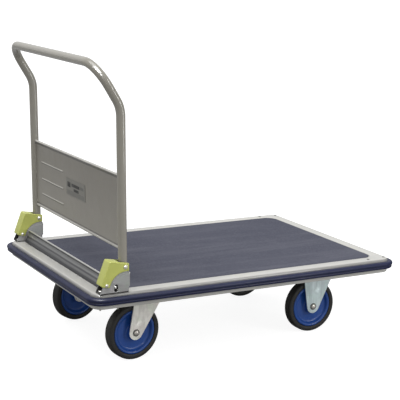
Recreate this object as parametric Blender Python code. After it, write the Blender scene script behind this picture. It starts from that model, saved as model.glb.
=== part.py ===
"""A folding platform cart: a pressed steel deck on two swivel and two rigid casters, with a bent tube
handle that folds forward over the deck once a spring-returned release plate lets it go.

Metres, +Z up. The origin is on the ground under the middle of the deck. +X points away from the
handle, and the near side is -Y.
"""

import math

import bmesh
import bpy
from mathutils import Matrix, Vector

# ---------------------------------------------------------------- driving dimensions
DECK_LENGTH = 0.910
DECK_WIDTH = 0.610
DECK_HEIGHT = 0.2195
SHEET = 0.002
SKIRT_DEPTH = 0.039
RIM_WIDTH = 0.0355
DECK_CORNER = 0.027
RECESS_CORNER = 0.030
RECESS_DEPTH = 0.0025
MAT_THICKNESS = 0.0020

BUMPER_PROUD = 0.015
BUMPER_TOP = DECK_HEIGHT - 0.0050
BUMPER_HEIGHT = 0.0215

WHEEL_RADIUS = 0.075
TYRE_WIDTH = 0.030
RIM_RADIUS = 0.0605
WHEEL_TRACK = 0.376
SWIVEL_X = -0.2610
SWIVEL_TRAIL = 0.038
SWIVEL_REST = {"near": math.radians(5), "far": math.radians(11.5)}
RIGID_AXLE_X = 0.2625
RIGID_PLATE_X = 0.2775
CASTER_HEIGHT = DECK_HEIGHT - 0.0343
PLATE_THICKNESS = 0.0035
PLATE_SIZE = (0.112, 0.088)
FORK_SHEET = 0.003
FORK_GAP = 0.0360
AXLE_RADIUS = 0.006

HANDLE_SPACING = 0.581
TUBE_RADIUS = 0.0115
TUBE_WALL = 0.0018
HANDLE_LEAN = 0.028
PIVOT_X = -0.3762
PIVOT_Z = DECK_HEIGHT + 0.0660
TUBE_STUB = 0.0390
PLUG_FLANGE = 0.0017
BEND_START = 0.383
BEND_RADIUS = 0.045
BEND_ANGLE = math.radians(30.6)
GRIP_REACH = 0.113
GRIP_CORNER = 0.060

PANEL_BOTTOM = 0.037
PANEL_TOP = 0.229
PANEL_SHEET = 0.0014
PANEL_LIP = 0.009
LABEL_SIZE = (0.126, 0.046)
LABEL_Z = DECK_HEIGHT + 0.204
LABEL_Y = -0.0045

CHEEK_SHEET = 0.0023
CHEEK_GAP = 0.0240
GUARD_WALL = 0.0024
PIVOT_PIN_RADIUS = 0.004
ROD_RADIUS = 0.0035
ROD_X = -0.4012
ROD_Z = DECK_HEIGHT + 0.016
PEDAL_X = -0.4102
PEDAL_Z = DECK_HEIGHT + 0.008
PEDAL_SWING = math.radians(35)
PEDAL_HALF = 0.2690

GAP = 0.0003
ROUND_SEGMENTS = 24
TYRE_SEGMENTS = 28
BOLT_SEGMENTS = 12

# The side profiles of the hinge brackets are drawn in millimetres from the handle's foot on the deck:
# u is along +X and w is up. BASE_TOP is the w of the top of a bracket's base.
FOOT_X = -0.3741
BASE_TOP = 3.3
BRACKET_REAR = -68.5
REAR_BOLT_BACK = 0.060
REAR_BOLT_INSET = 0.004
FRONT_BOLT_BACK = 0.014
SLOT_HALF = 0.0054
SCREW_RADIUS = 0.0022
PEDAL_PIN_RADIUS = 0.0020
PEDAL_TAB = 0.0025
BUSH_RADIUS = 0.0060
HUB_RADIUS = 0.0110
SIDES = {"near": -1, "far": 1}

DECK_BOTTOM = DECK_HEIGHT - SKIRT_DEPTH
PAN_UNDERSIDE = DECK_HEIGHT - RECESS_DEPTH - SHEET
AXLE_Z = WHEEL_RADIUS
SWIVEL_AXLE_X = SWIVEL_X - SWIVEL_TRAIL


# ---------------------------------------------------------------- materials
def material(name, colour, roughness, metallic=0.0):
    made = bpy.data.materials.new(name)
    made.use_nodes = True
    shader = made.node_tree.nodes["Principled BSDF"]
    shader.inputs["Base Color"].default_value = (*colour, 1.0)
    shader.inputs["Roughness"].default_value = roughness
    shader.inputs["Metallic"].default_value = metallic
    made.diffuse_color = (*colour, 1.0)
    return made


# ---------------------------------------------------------------- mesh tools
def add_object(name, bm, look, origin=(0.0, 0.0, 0.0), smooth=True):
    """Turns a bmesh drawn in world coordinates into an object whose origin is at the given point."""
    bmesh.ops.recalc_face_normals(bm, faces=bm.faces)
    bmesh.ops.translate(bm, vec=-Vector(origin), verts=bm.verts)
    mesh = bpy.data.meshes.new(name)
    bm.to_mesh(mesh)
    bm.free()
    if smooth:
        mesh.shade_smooth()
        mesh.set_sharp_from_angle(angle=math.radians(32))
    obj = bpy.data.objects.new(name, mesh)
    obj.location = origin
    mesh.materials.append(look)
    bpy.context.scene.collection.objects.link(obj)
    return obj


def loft(loops, ring=False):
    """A bmesh through loops of equal length: capped at both ends, or joined end to start as a ring."""
    bm = bmesh.new()
    rows = [[bm.verts.new(p) for p in loop] for loop in loops]
    pairs = list(zip(rows, rows[1:]))
    if ring:
        pairs.append((rows[-1], rows[0]))
    for a, b in pairs:
        for i in range(len(a)):
            j = (i + 1) % len(a)
            bm.faces.new((a[i], a[j], b[j], b[i]))
    if not ring:
        bm.faces.new(rows[0])
        bm.faces.new(rows[-1])
    return bm


def rounded_rectangle(half_x, half_y, radius, z, steps=5):
    """Corner arcs of one radius, counter-clockwise, always with the same number of points."""
    points = []
    for quarter in range(4):
        sx = (1, -1, -1, 1)[quarter]
        sy = (1, 1, -1, -1)[quarter]
        for i in range(steps + 1):
            angle = math.pi / 2 * (quarter + i / steps)
            points.append((
                sx * (half_x - radius) + radius * math.cos(angle),
                sy * (half_y - radius) + radius * math.sin(angle),
                z,
            ))
    return points


def circle(centre, radius, axis, height, segments, phase=0.0):
    """A loop around an axis through centre, at a height along it."""
    points = []
    for i in range(segments):
        angle = 2 * math.pi * (i + phase) / segments
        a, b = radius * math.cos(angle), radius * math.sin(angle)
        offset = {"x": (height, a, b), "y": (a, height, b), "z": (a, b, height)}[axis]
        points.append(Vector(centre) + Vector(offset))
    return points


def turned(profile, centre, axis, segments=BOLT_SEGMENTS, ring=False, phase=0.0):
    """A profile of (radius, height) turned around an axis through centre."""
    return loft([circle(centre, r, axis, h, segments, phase) for r, h in profile], ring)


def extruded(outline, low, high):
    """A prism of an outline of (x, z) between two y values."""
    return loft([[(x, y, z) for x, z in outline] for y in (low, high)])


def box(low, high):
    """A block between two corners."""
    corners = [(low[0], low[1]), (high[0], low[1]), (high[0], high[1]), (low[0], high[1])]
    return loft([[(x, y, z) for x, y in corners] for z in (low[2], high[2])])


def arc(centre, radius, start, end, steps):
    """Points (x, z) of an arc, with its angles in degrees from +x towards +z."""
    points = []
    for i in range(steps + 1):
        angle = math.radians(start + (end - start) * i / steps)
        points.append((centre[0] + radius * math.cos(angle), centre[1] + radius * math.sin(angle)))
    return points


def joined(*parts):
    """One bmesh that holds several, still as separate bodies."""
    whole = bmesh.new()
    for part in parts:
        mesh = bpy.data.meshes.new("part")
        bmesh.ops.recalc_face_normals(part, faces=part.faces)
        part.to_mesh(mesh)
        part.free()
        whole.from_mesh(mesh)
        bpy.data.meshes.remove(mesh)
    return whole


def helper(name, bm, like):
    """A hidden shape for a Boolean, sharing the origin of the object that it acts on."""
    obj = add_object(name, bm, like.data.materials[0], like.location, smooth=False)
    obj.hide_render = True
    obj.display_type = "WIRE"
    return obj


def combine(obj, operation, name, bm):
    modifier = obj.modifiers.new(name, "BOOLEAN")
    modifier.operation = operation
    modifier.solver = "EXACT"
    modifier.object = helper(f"{obj.name}_{name}", bm, obj)


def cut(obj, name, bm):
    combine(obj, "DIFFERENCE", name, bm)


def unite(obj, name, bm):
    combine(obj, "UNION", name, bm)


def tube_frames(path):
    """Two directions across the path at each point, carried along it without twist."""
    tangents = []
    for i, point in enumerate(path):
        before = path[max(i - 1, 0)]
        after = path[min(i + 1, len(path) - 1)]
        tangents.append((after - before).normalized())
    across = tangents[0].orthogonal().normalized()
    frames = []
    for i, tangent in enumerate(tangents):
        if i:
            across = tangents[i - 1].rotation_difference(tangent) @ across
        across = (across - across.dot(tangent) * tangent).normalized()
        frames.append((across, tangent.cross(across)))
    return frames


def sweep(path, radius, sides):
    """Loops of a round bar or bore along a path."""
    loops = []
    for point, (a, b) in zip(path, tube_frames(path)):
        angles = [2 * math.pi * i / sides for i in range(sides)]
        loops.append([point + radius * (math.cos(t) * a + math.sin(t) * b) for t in angles])
    return loops


def side_y(side, distance):
    """A y value at a distance outwards from the centre plane of that side's upright."""
    return SIDES[side] * (HANDLE_SPACING / 2 + distance)


def uw(u, w):
    """A bracket's own coordinates, in millimetres, as (x, z)."""
    return (FOOT_X + u / 1000, DECK_HEIGHT + w / 1000)


# ---------------------------------------------------------------- deck
def deck_loop(inset, z, radius=None):
    corner = DECK_CORNER - inset if radius is None else radius
    return rounded_rectangle(DECK_LENGTH / 2 - inset, DECK_WIDTH / 2 - inset, corner, z)


def bracket_bolt_places(side):
    """The (x, y) of the two bolts that hold a hinge bracket down."""
    return {
        "rear": (FOOT_X - REAR_BOLT_BACK, side_y(side, -REAR_BOLT_INSET)),
        "front": (FOOT_X - FRONT_BOLT_BACK, side_y(side, 0)),
    }


def make_deck_pan(look):
    top = DECK_HEIGHT
    bottom = DECK_BOTTOM
    flange = 0.008
    loops = [
        deck_loop(RIM_WIDTH - SHEET, PAN_UNDERSIDE, RECESS_CORNER + SHEET),
        deck_loop(RIM_WIDTH - SHEET, top - SHEET, RECESS_CORNER + SHEET),
        deck_loop(0.0045, top - SHEET),
        deck_loop(SHEET, top - 0.0045),
        deck_loop(SHEET, bottom + SHEET),
        deck_loop(flange, bottom + SHEET),
        deck_loop(flange, bottom),
        deck_loop(0.0015, bottom),
        deck_loop(0.0, bottom + 0.0015),
        deck_loop(0.0, top - 0.0060),
        deck_loop(0.0018, top - 0.0018),
        deck_loop(0.0060, top),
        deck_loop(RIM_WIDTH, top, RECESS_CORNER),
        deck_loop(RIM_WIDTH + 0.0008, top - RECESS_DEPTH, RECESS_CORNER),
    ]
    pan = add_object("deck_pan", loft(loops), look)
    holes = []
    for side in SIDES:
        for x, y in bracket_bolt_places(side).values():
            profile = [(0.0034, -0.010), (0.0034, 0.010)]
            holes.append(turned(profile, (x, y, top), "z", 8))
    cut(pan, "bolt_holes", joined(*holes))


def make_deck_mat(look):
    low = DECK_HEIGHT - RECESS_DEPTH + GAP
    inset = RIM_WIDTH + 0.0016
    loops = [deck_loop(inset, z, RECESS_CORNER) for z in (low, low + MAT_THICKNESS)]
    add_object("deck_mat", loft(loops), look)


def make_bumper(look):
    """A hollow-looking rubber section: two round lobes with a shallow groove between them."""
    half = BUMPER_HEIGHT / 2
    middle = BUMPER_TOP - half
    upper = [(0.83, 0.11), (1.00, 0.34), (0.92, 0.70), (0.62, 0.97), (0.02, 1.00)]
    profile = [(proud * BUMPER_PROUD, middle - rise * half) for proud, rise in reversed(upper)]
    profile += [(proud * BUMPER_PROUD, middle + rise * half) for proud, rise in upper]
    loops = [deck_loop(-proud, z) for proud, z in profile]
    add_object("bumper", loft(loops, ring=True), look)


def hat_section(half_web, half_flange, low, high, sheet):
    """The (across, z) outline of a hat channel that opens upwards between its two flanges."""
    right = [
        (half_flange, high), (half_flange, high - sheet), (half_web, high - sheet),
        (half_web, low), (0.0, low),
    ]
    inside = [(0.0, low + sheet), (half_web - sheet, low + sheet), (half_web - sheet, high)]
    outer = right[:-1] + [(-a, z) for a, z in reversed(right[:-1])]
    inner = [(-a, z) for a, z in reversed(inside[1:])] + inside[1:]
    return outer + inner


def make_under_frame(look):
    low = CASTER_HEIGHT + GAP
    high = PAN_UNDERSIDE - GAP
    reach = DECK_WIDTH / 2 - 0.010
    for name, x in (("rear", SWIVEL_X), ("front", RIGID_PLATE_X)):
        outline = hat_section(PLATE_SIZE[0] / 2 + 0.003, 0.074, low, high, 0.0025)
        outline = [(x + a, z) for a, z in outline]
        add_object(f"cross_member_{name}", extruded(outline, -reach, reach), look)
    start = SWIVEL_X + 0.0743
    end = RIGID_PLATE_X - 0.0743
    for side, sign in SIDES.items():
        y = sign * 0.105
        outline = hat_section(0.020, 0.034, high - 0.022, high, 0.002)
        loops = [[(x, y + a, z) for a, z in outline] for x in (start, end)]
        add_object(f"deck_stiffener_{side}", loft(loops), look)


# ---------------------------------------------------------------- hinge brackets
def bracket_outline():
    """One cheek, seen from the side: a gusset that rises to an ear around the handle's pivot."""
    pivot = ((PIVOT_X - FOOT_X) * 1000, (PIVOT_Z - DECK_HEIGHT) * 1000)
    front = [(10.0, 0.3), (10.0, 14), (13.4, 16), (13.4, 45), (12.4, 48.2), (9.6, 50)]
    points = [(BRACKET_REAR, 0.3)] + front
    points += arc(pivot, 9.0, -12, 118, 6)
    points += [(-50, 33.5), (-58, 25), (BRACKET_REAR, BASE_TOP)]
    return [uw(u, w) for u, w in points]


def rod_slot(side):
    """The upright slot, round at both ends, that the lock rod's end moves in as the plate tilts."""
    reach = math.hypot(ROD_X - PEDAL_X, ROD_Z - PEDAL_Z)
    swung = math.atan2(ROD_Z - PEDAL_Z, ROD_X - PEDAL_X) - PEDAL_SWING
    middle = (ROD_X + PEDAL_X + reach * math.cos(swung)) / 2
    high = (middle, ROD_Z + 0.0013)
    low = (middle, PEDAL_Z + reach * math.sin(swung) - 0.0004)
    outline = arc(high, SLOT_HALF, 0, 180, 6) + arc(low, SLOT_HALF, 180, 360, 6)
    ends = sorted((side_y(side, -0.020), side_y(side, 0.020)))
    return extruded(outline, *ends)


def cross_hole(side, x, z, radius, reach=0.022, segments=BOLT_SEGMENTS):
    profile = [(radius, -reach), (radius, reach)]
    return turned(profile, (x, side_y(side, 0), z), "y", segments)


def guard_screw_place():
    return uw(-52.5, 23.6)


def make_bracket(side, look):
    half = CHEEK_GAP / 2 + CHEEK_SHEET
    ends = sorted((side_y(side, -half), side_y(side, half)))
    bracket = add_object(f"hinge_bracket_{side}", extruded(bracket_outline(), *ends), look)
    inner = sorted((side_y(side, -CHEEK_GAP / 2), side_y(side, CHEEK_GAP / 2)))
    room = [uw(-90, BASE_TOP), uw(11.2, BASE_TOP), uw(11.2, 90), uw(-90, 90)]
    cut(bracket, "between_cheeks", extruded(room, *inner))
    below_web = [uw(9.0, BASE_TOP), uw(20, BASE_TOP), uw(20, 15.0), uw(9.0, 15.0)]
    cut(bracket, "below_web", extruded(below_web, *inner))
    holes = [
        cross_hole(side, PIVOT_X, PIVOT_Z, PIVOT_PIN_RADIUS + GAP),
        cross_hole(side, *guard_screw_place(), SCREW_RADIUS + GAP),
        rod_slot(side),
    ]
    pin_end = sorted((side_y(side, -0.020), side_y(side, -0.008)))
    middle = (PEDAL_X, sum(pin_end) / 2, PEDAL_Z)
    reach = (pin_end[1] - pin_end[0]) / 2
    bore = PEDAL_PIN_RADIUS + GAP
    holes.append(turned([(bore, -reach), (bore, reach)], middle, "y", 8))
    for x, y in bracket_bolt_places(side).values():
        profile = [(0.0034, -0.002), (0.0034, 0.006)]
        holes.append(turned(profile, (x, y, DECK_HEIGHT), "z", 8))
    cut(bracket, "holes", joined(*holes))


def make_bracket_bolts(side, look):
    head = DECK_HEIGHT + BASE_TOP / 1000 + GAP
    nut = DECK_HEIGHT - SHEET - GAP
    profile = [
        (0.0046, head + 0.0032), (0.0060, head + 0.0024), (0.0060, head), (0.0030, head),
        (0.0030, nut), (0.0055, nut), (0.0055, nut - 0.0055), (0.0030, nut - 0.0055),
        (0.0030, DECK_BOTTOM - 0.004), (0.0018, DECK_BOTTOM - 0.0065),
    ]
    for place, (x, y) in bracket_bolt_places(side).items():
        bolt = turned(profile, (x, y, 0), "z", 8)
        add_object(f"bracket_bolt_{side}_{place}", bolt, look)


def guard_outline():
    """The plastic finger guard from the side, with its round cut-out above the lock rod."""
    points = arc((4.5, 71.5), 4.0, 0, 80, 3)
    points += arc((-41.5, 78.3), 5.0, 80, 161, 4)
    points += arc((-62.0, 23.5), 4.0, 161, 256, 3)
    points += [(-50.0, 17.0), (-44.0, 17.0)]
    points += arc((2.0, 8.0), 46.5, 168, 81, 8)
    return [uw(u, w) for u, w in points]


def guard_room():
    """The hollow inside the guard: it opens to the front, below, and around the tube."""
    roof = [(-20, 77.45), (-42.3, 81.2), (-44.0, 79.3)]
    points = [(20, 92), (-20, 92)] + roof + [(-63.7, 23.3), (-68, 11), (20, 11)]
    return [uw(u, w) for u, w in points]


def make_guard(side, look):
    inside = CHEEK_GAP / 2 + CHEEK_SHEET + GAP
    outside = inside + GUARD_WALL
    ends = sorted((side_y(side, -outside), side_y(side, outside)))
    guard = add_object(f"finger_guard_{side}", extruded(guard_outline(), *ends), look)
    inner = sorted((side_y(side, -inside), side_y(side, inside)))
    cut(guard, "room", extruded(guard_room(), *inner))
    holes = [
        cross_hole(side, PIVOT_X, PIVOT_Z, PIVOT_PIN_RADIUS + GAP),
        cross_hole(side, *guard_screw_place(), SCREW_RADIUS + GAP),
    ]
    cut(guard, "holes", joined(*holes))


def headed_pin(side, x, z, shank, head, dome):
    """A pin across a bracket with a domed head on each end, outside the guard."""
    seat = CHEEK_GAP / 2 + CHEEK_SHEET + 2 * GAP + GUARD_WALL
    half = [(shank, seat), (head, seat), (head, seat + 0.35 * dome), (0.55 * head, seat + dome)]
    profile = [(r, -h) for r, h in reversed(half)] + half
    return turned(profile, (x, side_y(side, 0), z), "y", BOLT_SEGMENTS)


def make_bracket_pins(side, look):
    pivot = headed_pin(side, PIVOT_X, PIVOT_Z, PIVOT_PIN_RADIUS, 0.0056, 0.0034)
    add_object(f"pivot_pin_{side}", pivot, look, (PIVOT_X, side_y(side, 0), PIVOT_Z))
    x, z = guard_screw_place()
    add_object(f"guard_screw_{side}", headed_pin(side, x, z, SCREW_RADIUS, 0.0048, 0.0028), look)


# ---------------------------------------------------------------- handle
def handle_point(along, across=0.0):
    """A point (x, z) of the upright, by its distance up from the pivot and ahead of its axis."""
    return (
        PIVOT_X - along * math.sin(HANDLE_LEAN) + across * math.cos(HANDLE_LEAN),
        PIVOT_Z + along * math.cos(HANDLE_LEAN) + across * math.sin(HANDLE_LEAN),
    )


def half_handle_path():
    """The tube's centre line on the far side, from its foot to the middle of the grip."""
    y = HANDLE_SPACING / 2
    up = Vector((-math.sin(HANDLE_LEAN), 0, math.cos(HANDLE_LEAN)))
    back = Vector((-math.cos(HANDLE_LEAN), 0, -math.sin(HANDLE_LEAN)))
    pivot = Vector((PIVOT_X, y, PIVOT_Z))
    path = [pivot + up * t for t in (-TUBE_STUB, BEND_START * 0.5)]
    start = pivot + up * BEND_START
    for i in range(6):
        angle = BEND_ANGLE * i / 5
        rise = BEND_RADIUS * math.sin(angle)
        path.append(start + up * rise + back * BEND_RADIUS * (1 - math.cos(angle)))
    slope = up * math.cos(BEND_ANGLE) + back * math.sin(BEND_ANGLE)
    corner = path[-1] + slope * (GRIP_REACH - GRIP_CORNER)
    inward = Vector((0, -1, 0))
    for i in range(9):
        angle = math.pi / 2 * i / 8
        path.append(
            corner + slope * GRIP_CORNER * math.sin(angle) + inward * GRIP_CORNER * (1 - math.cos(angle))
        )
    return path


def make_handle_tube(look):
    far = half_handle_path()
    near = [Vector((p.x, -p.y, p.z)) for p in reversed(far)]
    path = far + near
    outer = sweep(path, TUBE_RADIUS, 16)
    bore = sweep(path, TUBE_RADIUS - TUBE_WALL, 16)
    tube = add_object("handle_tube", loft(outer + bore[::-1], ring=True), look, (PIVOT_X, 0, PIVOT_Z))
    holes = [cross_hole(side, PIVOT_X, PIVOT_Z, BUSH_RADIUS + GAP) for side in SIDES]
    cut(tube, "bush_holes", joined(*holes))


def make_pivot_bush(side, look):
    half = CHEEK_GAP / 2 - GAP
    bore = PIVOT_PIN_RADIUS + GAP
    profile = [(bore, -half), (BUSH_RADIUS, -half), (BUSH_RADIUS, half), (bore, half)]
    bush = turned(profile, (PIVOT_X, side_y(side, 0), PIVOT_Z), "y", BOLT_SEGMENTS, ring=True)
    add_object(f"pivot_bush_{side}", bush, look, (PIVOT_X, side_y(side, 0), PIVOT_Z))


def make_foot_plug(side, look):
    """A plug that closes the tube's lower end: its flange covers the wall, its stem sits in the bore."""
    up = Vector((-math.sin(HANDLE_LEAN), 0, math.cos(HANDLE_LEAN)))
    foot = Vector((PIVOT_X, side_y(side, 0), PIVOT_Z)) - up * TUBE_STUB
    stem = TUBE_RADIUS - TUBE_WALL - GAP
    profile = [(stem, 0.008), (stem, -GAP), (TUBE_RADIUS, -GAP), (TUBE_RADIUS, -PLUG_FLANGE)]
    plug = turned(profile, (0, 0, 0), "z", 16)
    bmesh.ops.rotate(plug, cent=(0, 0, 0), matrix=Matrix.Rotation(-HANDLE_LEAN, 3, "Y"), verts=plug.verts)
    bmesh.ops.translate(plug, vec=foot, verts=plug.verts)
    add_object(f"foot_plug_{side}", plug, look, foot)


def make_handle_panel(look):
    """A sheet between the uprights, with a lip folded away from the user along both long edges."""
    reach = HANDLE_SPACING / 2 - TUBE_RADIUS - GAP
    s = PANEL_SHEET
    section = [
        (PANEL_BOTTOM, -s / 2), (PANEL_TOP, -s / 2), (PANEL_TOP, PANEL_LIP), (PANEL_TOP - s, PANEL_LIP),
        (PANEL_TOP - s, s / 2), (PANEL_BOTTOM + s, s / 2), (PANEL_BOTTOM + s, PANEL_LIP),
        (PANEL_BOTTOM, PANEL_LIP),
    ]
    outline = [handle_point(along, across) for along, across in section]
    add_object("handle_panel", extruded(outline, -reach, reach), look, (PIVOT_X, 0, PIVOT_Z))


def make_label(look):
    middle = LABEL_Z - PIVOT_Z
    low, high = middle - LABEL_SIZE[1] / 2, middle + LABEL_SIZE[1] / 2
    front = -PANEL_SHEET / 2 - GAP
    section = [(low, front), (high, front), (high, front - 0.0005), (low, front - 0.0005)]
    outline = [handle_point(along, across) for along, across in section]
    half = LABEL_SIZE[0] / 2
    add_object("label_plate", extruded(outline, LABEL_Y - half, LABEL_Y + half), look)


# ---------------------------------------------------------------- release plate
def release_section():
    """The release plate's centre line from the side, as (u, w): a rolled top edge and one shallow bend."""
    return [(-33.9, 31.0), (-38.6, 18.0), (-45.4, 4.0)]


def strip(centre_line, sheet):
    """An outline of even thickness along a centre line of (u, w) in millimetres."""
    left, right = [], []
    for i, (u, w) in enumerate(centre_line):
        before = centre_line[max(i - 1, 0)]
        after = centre_line[min(i + 1, len(centre_line) - 1)]
        along = Vector((after[0] - before[0], after[1] - before[1])).normalized()
        across = Vector((along.y, -along.x)) * sheet / 2 * 1000
        left.append(uw(u + across.x, w + across.y))
        right.append(uw(u - across.x, w - across.y))
    return left + right[::-1]


def make_release_plate(look):
    hinge = (PEDAL_X, 0, PEDAL_Z)
    plate = extruded(strip(release_section(), 0.002), -PEDAL_HALF, PEDAL_HALF)
    plate = add_object("release_plate", plate, look, hinge)
    tab = [uw(-34.2, 30), uw(-21.5, 20), uw(-21.5, 11), uw(-31, 2.6), uw(-45.0, 3.4), uw(-38.6, 17.6)]
    tabs = [extruded(tab, *sorted((s * PEDAL_HALF, s * (PEDAL_HALF - PEDAL_TAB)))) for s in SIDES.values()]
    unite(plate, "tabs", joined(*tabs))
    hem = arc(uw(-33.4, 31.4), 0.0021, 0, 315, 7)
    unite(plate, "hem", extruded(hem, -PEDAL_HALF + 0.0002, PEDAL_HALF - 0.0002))
    reach = PEDAL_HALF + 0.01
    pin_bore = PEDAL_PIN_RADIUS + GAP
    holes = [
        turned([(ROD_RADIUS + GAP, -reach), (ROD_RADIUS + GAP, reach)], (ROD_X, 0, ROD_Z), "y"),
        turned([(pin_bore, -reach), (pin_bore, reach)], (PEDAL_X, 0, PEDAL_Z), "y", 8),
    ]
    cut(plate, "holes", joined(*holes))


def make_lock_rod(look):
    reach = HANDLE_SPACING / 2 + CHEEK_GAP / 2 + CHEEK_SHEET + 0.0012
    profile = [(ROD_RADIUS - 0.0008, -reach), (ROD_RADIUS, 0.0008 - reach)]
    profile += [(ROD_RADIUS, reach - 0.0008), (ROD_RADIUS - 0.0008, reach)]
    rod = turned(profile, (ROD_X, 0, ROD_Z), "y")
    add_object("lock_rod", rod, look, (PEDAL_X, 0, PEDAL_Z))


def make_pedal_pin(side, look):
    """A short pin from the bracket's inner cheek, through the plate's tab, into the return spring."""
    outer = side_y(side, -(CHEEK_GAP / 2 - 0.0004))
    inner = SIDES[side] * (PEDAL_HALF - 0.0185)
    radius = PEDAL_PIN_RADIUS
    profile = [(radius - 0.0004, inner), (radius, inner + SIDES[side] * 0.0006), (radius, outer)]
    pin = turned(profile, (PEDAL_X, 0, PEDAL_Z), "y", 8)
    add_object(f"pedal_pin_{side}", pin, look, (PEDAL_X, outer, PEDAL_Z))


def make_pedal_spring(side, look):
    """A torsion spring around the pedal pin, with one leg along the plate and one towards the deck."""
    sign = SIDES[side]
    coil, wire, turns, steps = 0.0034, 0.0006, 4.25, 10
    start = sign * (PEDAL_HALF - 0.0040)
    path = []
    for i in range(int(turns * steps) + 1):
        angle = 2 * math.pi * i / steps + math.pi / 2
        y = start - sign * 0.0017 * i / steps
        path.append(Vector((PEDAL_X + coil * math.cos(angle), y, PEDAL_Z + coil * math.sin(angle))))
    path.insert(0, path[0] + Vector((0.010, 0, 0.0002)))
    direction = (path[-1] - path[-2]).normalized()
    path.append(path[-1] + direction * 0.005)
    spring = loft(sweep(path, wire, 5))
    add_object(f"pedal_spring_{side}", spring, look, (PEDAL_X, start, PEDAL_Z))


# ---------------------------------------------------------------- casters
def fork_leg_outline(axle_x, top_z, rear_top, front_top, boss):
    """One fork leg from the side: two straight edges that run down on to a round boss at the axle."""
    points = [(rear_top, top_z), (rear_top, top_z - 0.004)]
    points += arc((axle_x, AXLE_Z), boss, 170, 330, 6)
    points += [(front_top, top_z - 0.004), (front_top, top_z)]
    return points


def caster_y(side):
    return SIDES[side] * WHEEL_TRACK / 2


def axle_bolt(x, y):
    """An axle bolt with its hexagonal head on the side away from the middle of the cart."""
    seat = FORK_GAP / 2 + FORK_SHEET + GAP
    sign = 1 if y > 0 else -1
    profile = [
        (0.0045, seat + 0.0058), (0.0078, seat + 0.0046), (0.0078, seat), (AXLE_RADIUS, seat),
        (AXLE_RADIUS, -seat), (0.0080, -seat), (0.0080, -seat - 0.0064),
        (AXLE_RADIUS - 0.0005, -seat - 0.0064), (AXLE_RADIUS - 0.0010, -seat - 0.0090),
    ]
    return turned([(r, sign * h) for r, h in profile], (x, y, AXLE_Z), "y")


def fork_legs(x, y, outline):
    """Two legs either side of the wheel."""
    inside = FORK_GAP / 2
    outside = inside + FORK_SHEET
    return [extruded(outline, *sorted((y + s * inside, y + s * outside))) for s in (-1, 1)]


def axle_hole(x, y):
    reach = FORK_GAP / 2 + FORK_SHEET + 0.005
    return turned([(AXLE_RADIUS + GAP, -reach), (AXLE_RADIUS + GAP, reach)], (x, y, AXLE_Z), "y")


def swivel(side, point):
    """Where a point of a swivel caster stands, once it has turned about its kingpin to its rest angle."""
    middle = Vector((SWIVEL_X, caster_y(side), 0))
    return middle + Matrix.Rotation(SWIVEL_REST[side], 3, "Z") @ (Vector(point) - middle)


def swivelled(side, bm):
    """A shape of a swivel caster, turned about its kingpin to its rest angle."""
    for vertex in bm.verts:
        vertex.co = swivel(side, vertex.co)
    return bm


def make_swivel_caster(side, looks):
    x, y = SWIVEL_X, caster_y(side)
    top = CASTER_HEIGHT
    plate_low = top - PLATE_THICKNESS
    race_low = plate_low - GAP - 0.0080
    crown_high = race_low - GAP
    crown_low = crown_high - FORK_SHEET
    web_low = crown_low - 0.0005
    head = web_low - GAP
    centre = (x, y, 0)

    plate = loft([
        [Vector(p) + Vector(centre) for p in rounded_rectangle(*[s / 2 for s in PLATE_SIZE], 0.009, z, 2)]
        for z in (plate_low, top)
    ])
    plate = add_object(f"swivel_plate_{side}", plate, looks["zinc"])
    cut(plate, "kingpin_hole", turned([(0.0063, plate_low - 0.01), (0.0063, top + 0.01)], centre, "z"))

    race = [
        (0.0063, race_low), (0.026, race_low), (0.0335, race_low + 0.0025), (0.0335, race_low + 0.0055),
        (0.028, plate_low - GAP), (0.0063, plate_low - GAP),
    ]
    race = turned(race, centre, "z", 20, ring=True)
    add_object(f"swivel_race_{side}", race, looks["zinc"])

    pin = [
        (0.0060, top - 0.0004), (0.0060, head), (0.0110, head), (0.0110, head - 0.0045),
        (0.0080, head - 0.0070),
    ]
    add_object(f"kingpin_{side}", turned(pin, centre, "z"), looks["zinc"])

    crown = [(0.034, crown_high), (0.0375, crown_high - 0.0012), (0.0375, crown_low)]
    crown = swivelled(side, turned(crown, centre, "z", 20))
    fork = add_object(f"swivel_fork_{side}", crown, looks["fork"], (x, y, crown_low))
    outline = fork_leg_outline(SWIVEL_AXLE_X, crown_high - 0.0006, x - 0.043, x + 0.043, 0.0195)
    half = FORK_GAP / 2 + FORK_SHEET
    web = box((x - 0.043, y - half, web_low), (x + 0.043, y + half, crown_high - 0.0006))
    unite(fork, "web", swivelled(side, web))
    for i, leg in enumerate(fork_legs(x, y, outline)):
        unite(fork, f"leg_{i}", swivelled(side, leg))
    kingpin_hole = turned([(0.0063, web_low - 0.01), (0.0063, crown_high + 0.01)], centre, "z")
    cut(fork, "holes", swivelled(side, joined(axle_hole(SWIVEL_AXLE_X, y), kingpin_hole)))
    bolt = swivelled(side, axle_bolt(SWIVEL_AXLE_X, y))
    hub = swivel(side, (SWIVEL_AXLE_X, y, AXLE_Z))
    add_object(f"swivel_axle_{side}", bolt, looks["zinc"], hub)
    for name, shape, look in wheel_shapes(SWIVEL_AXLE_X, y):
        add_object(f"{name}_rear_{side}", swivelled(side, shape), looks[look], hub)


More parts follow.
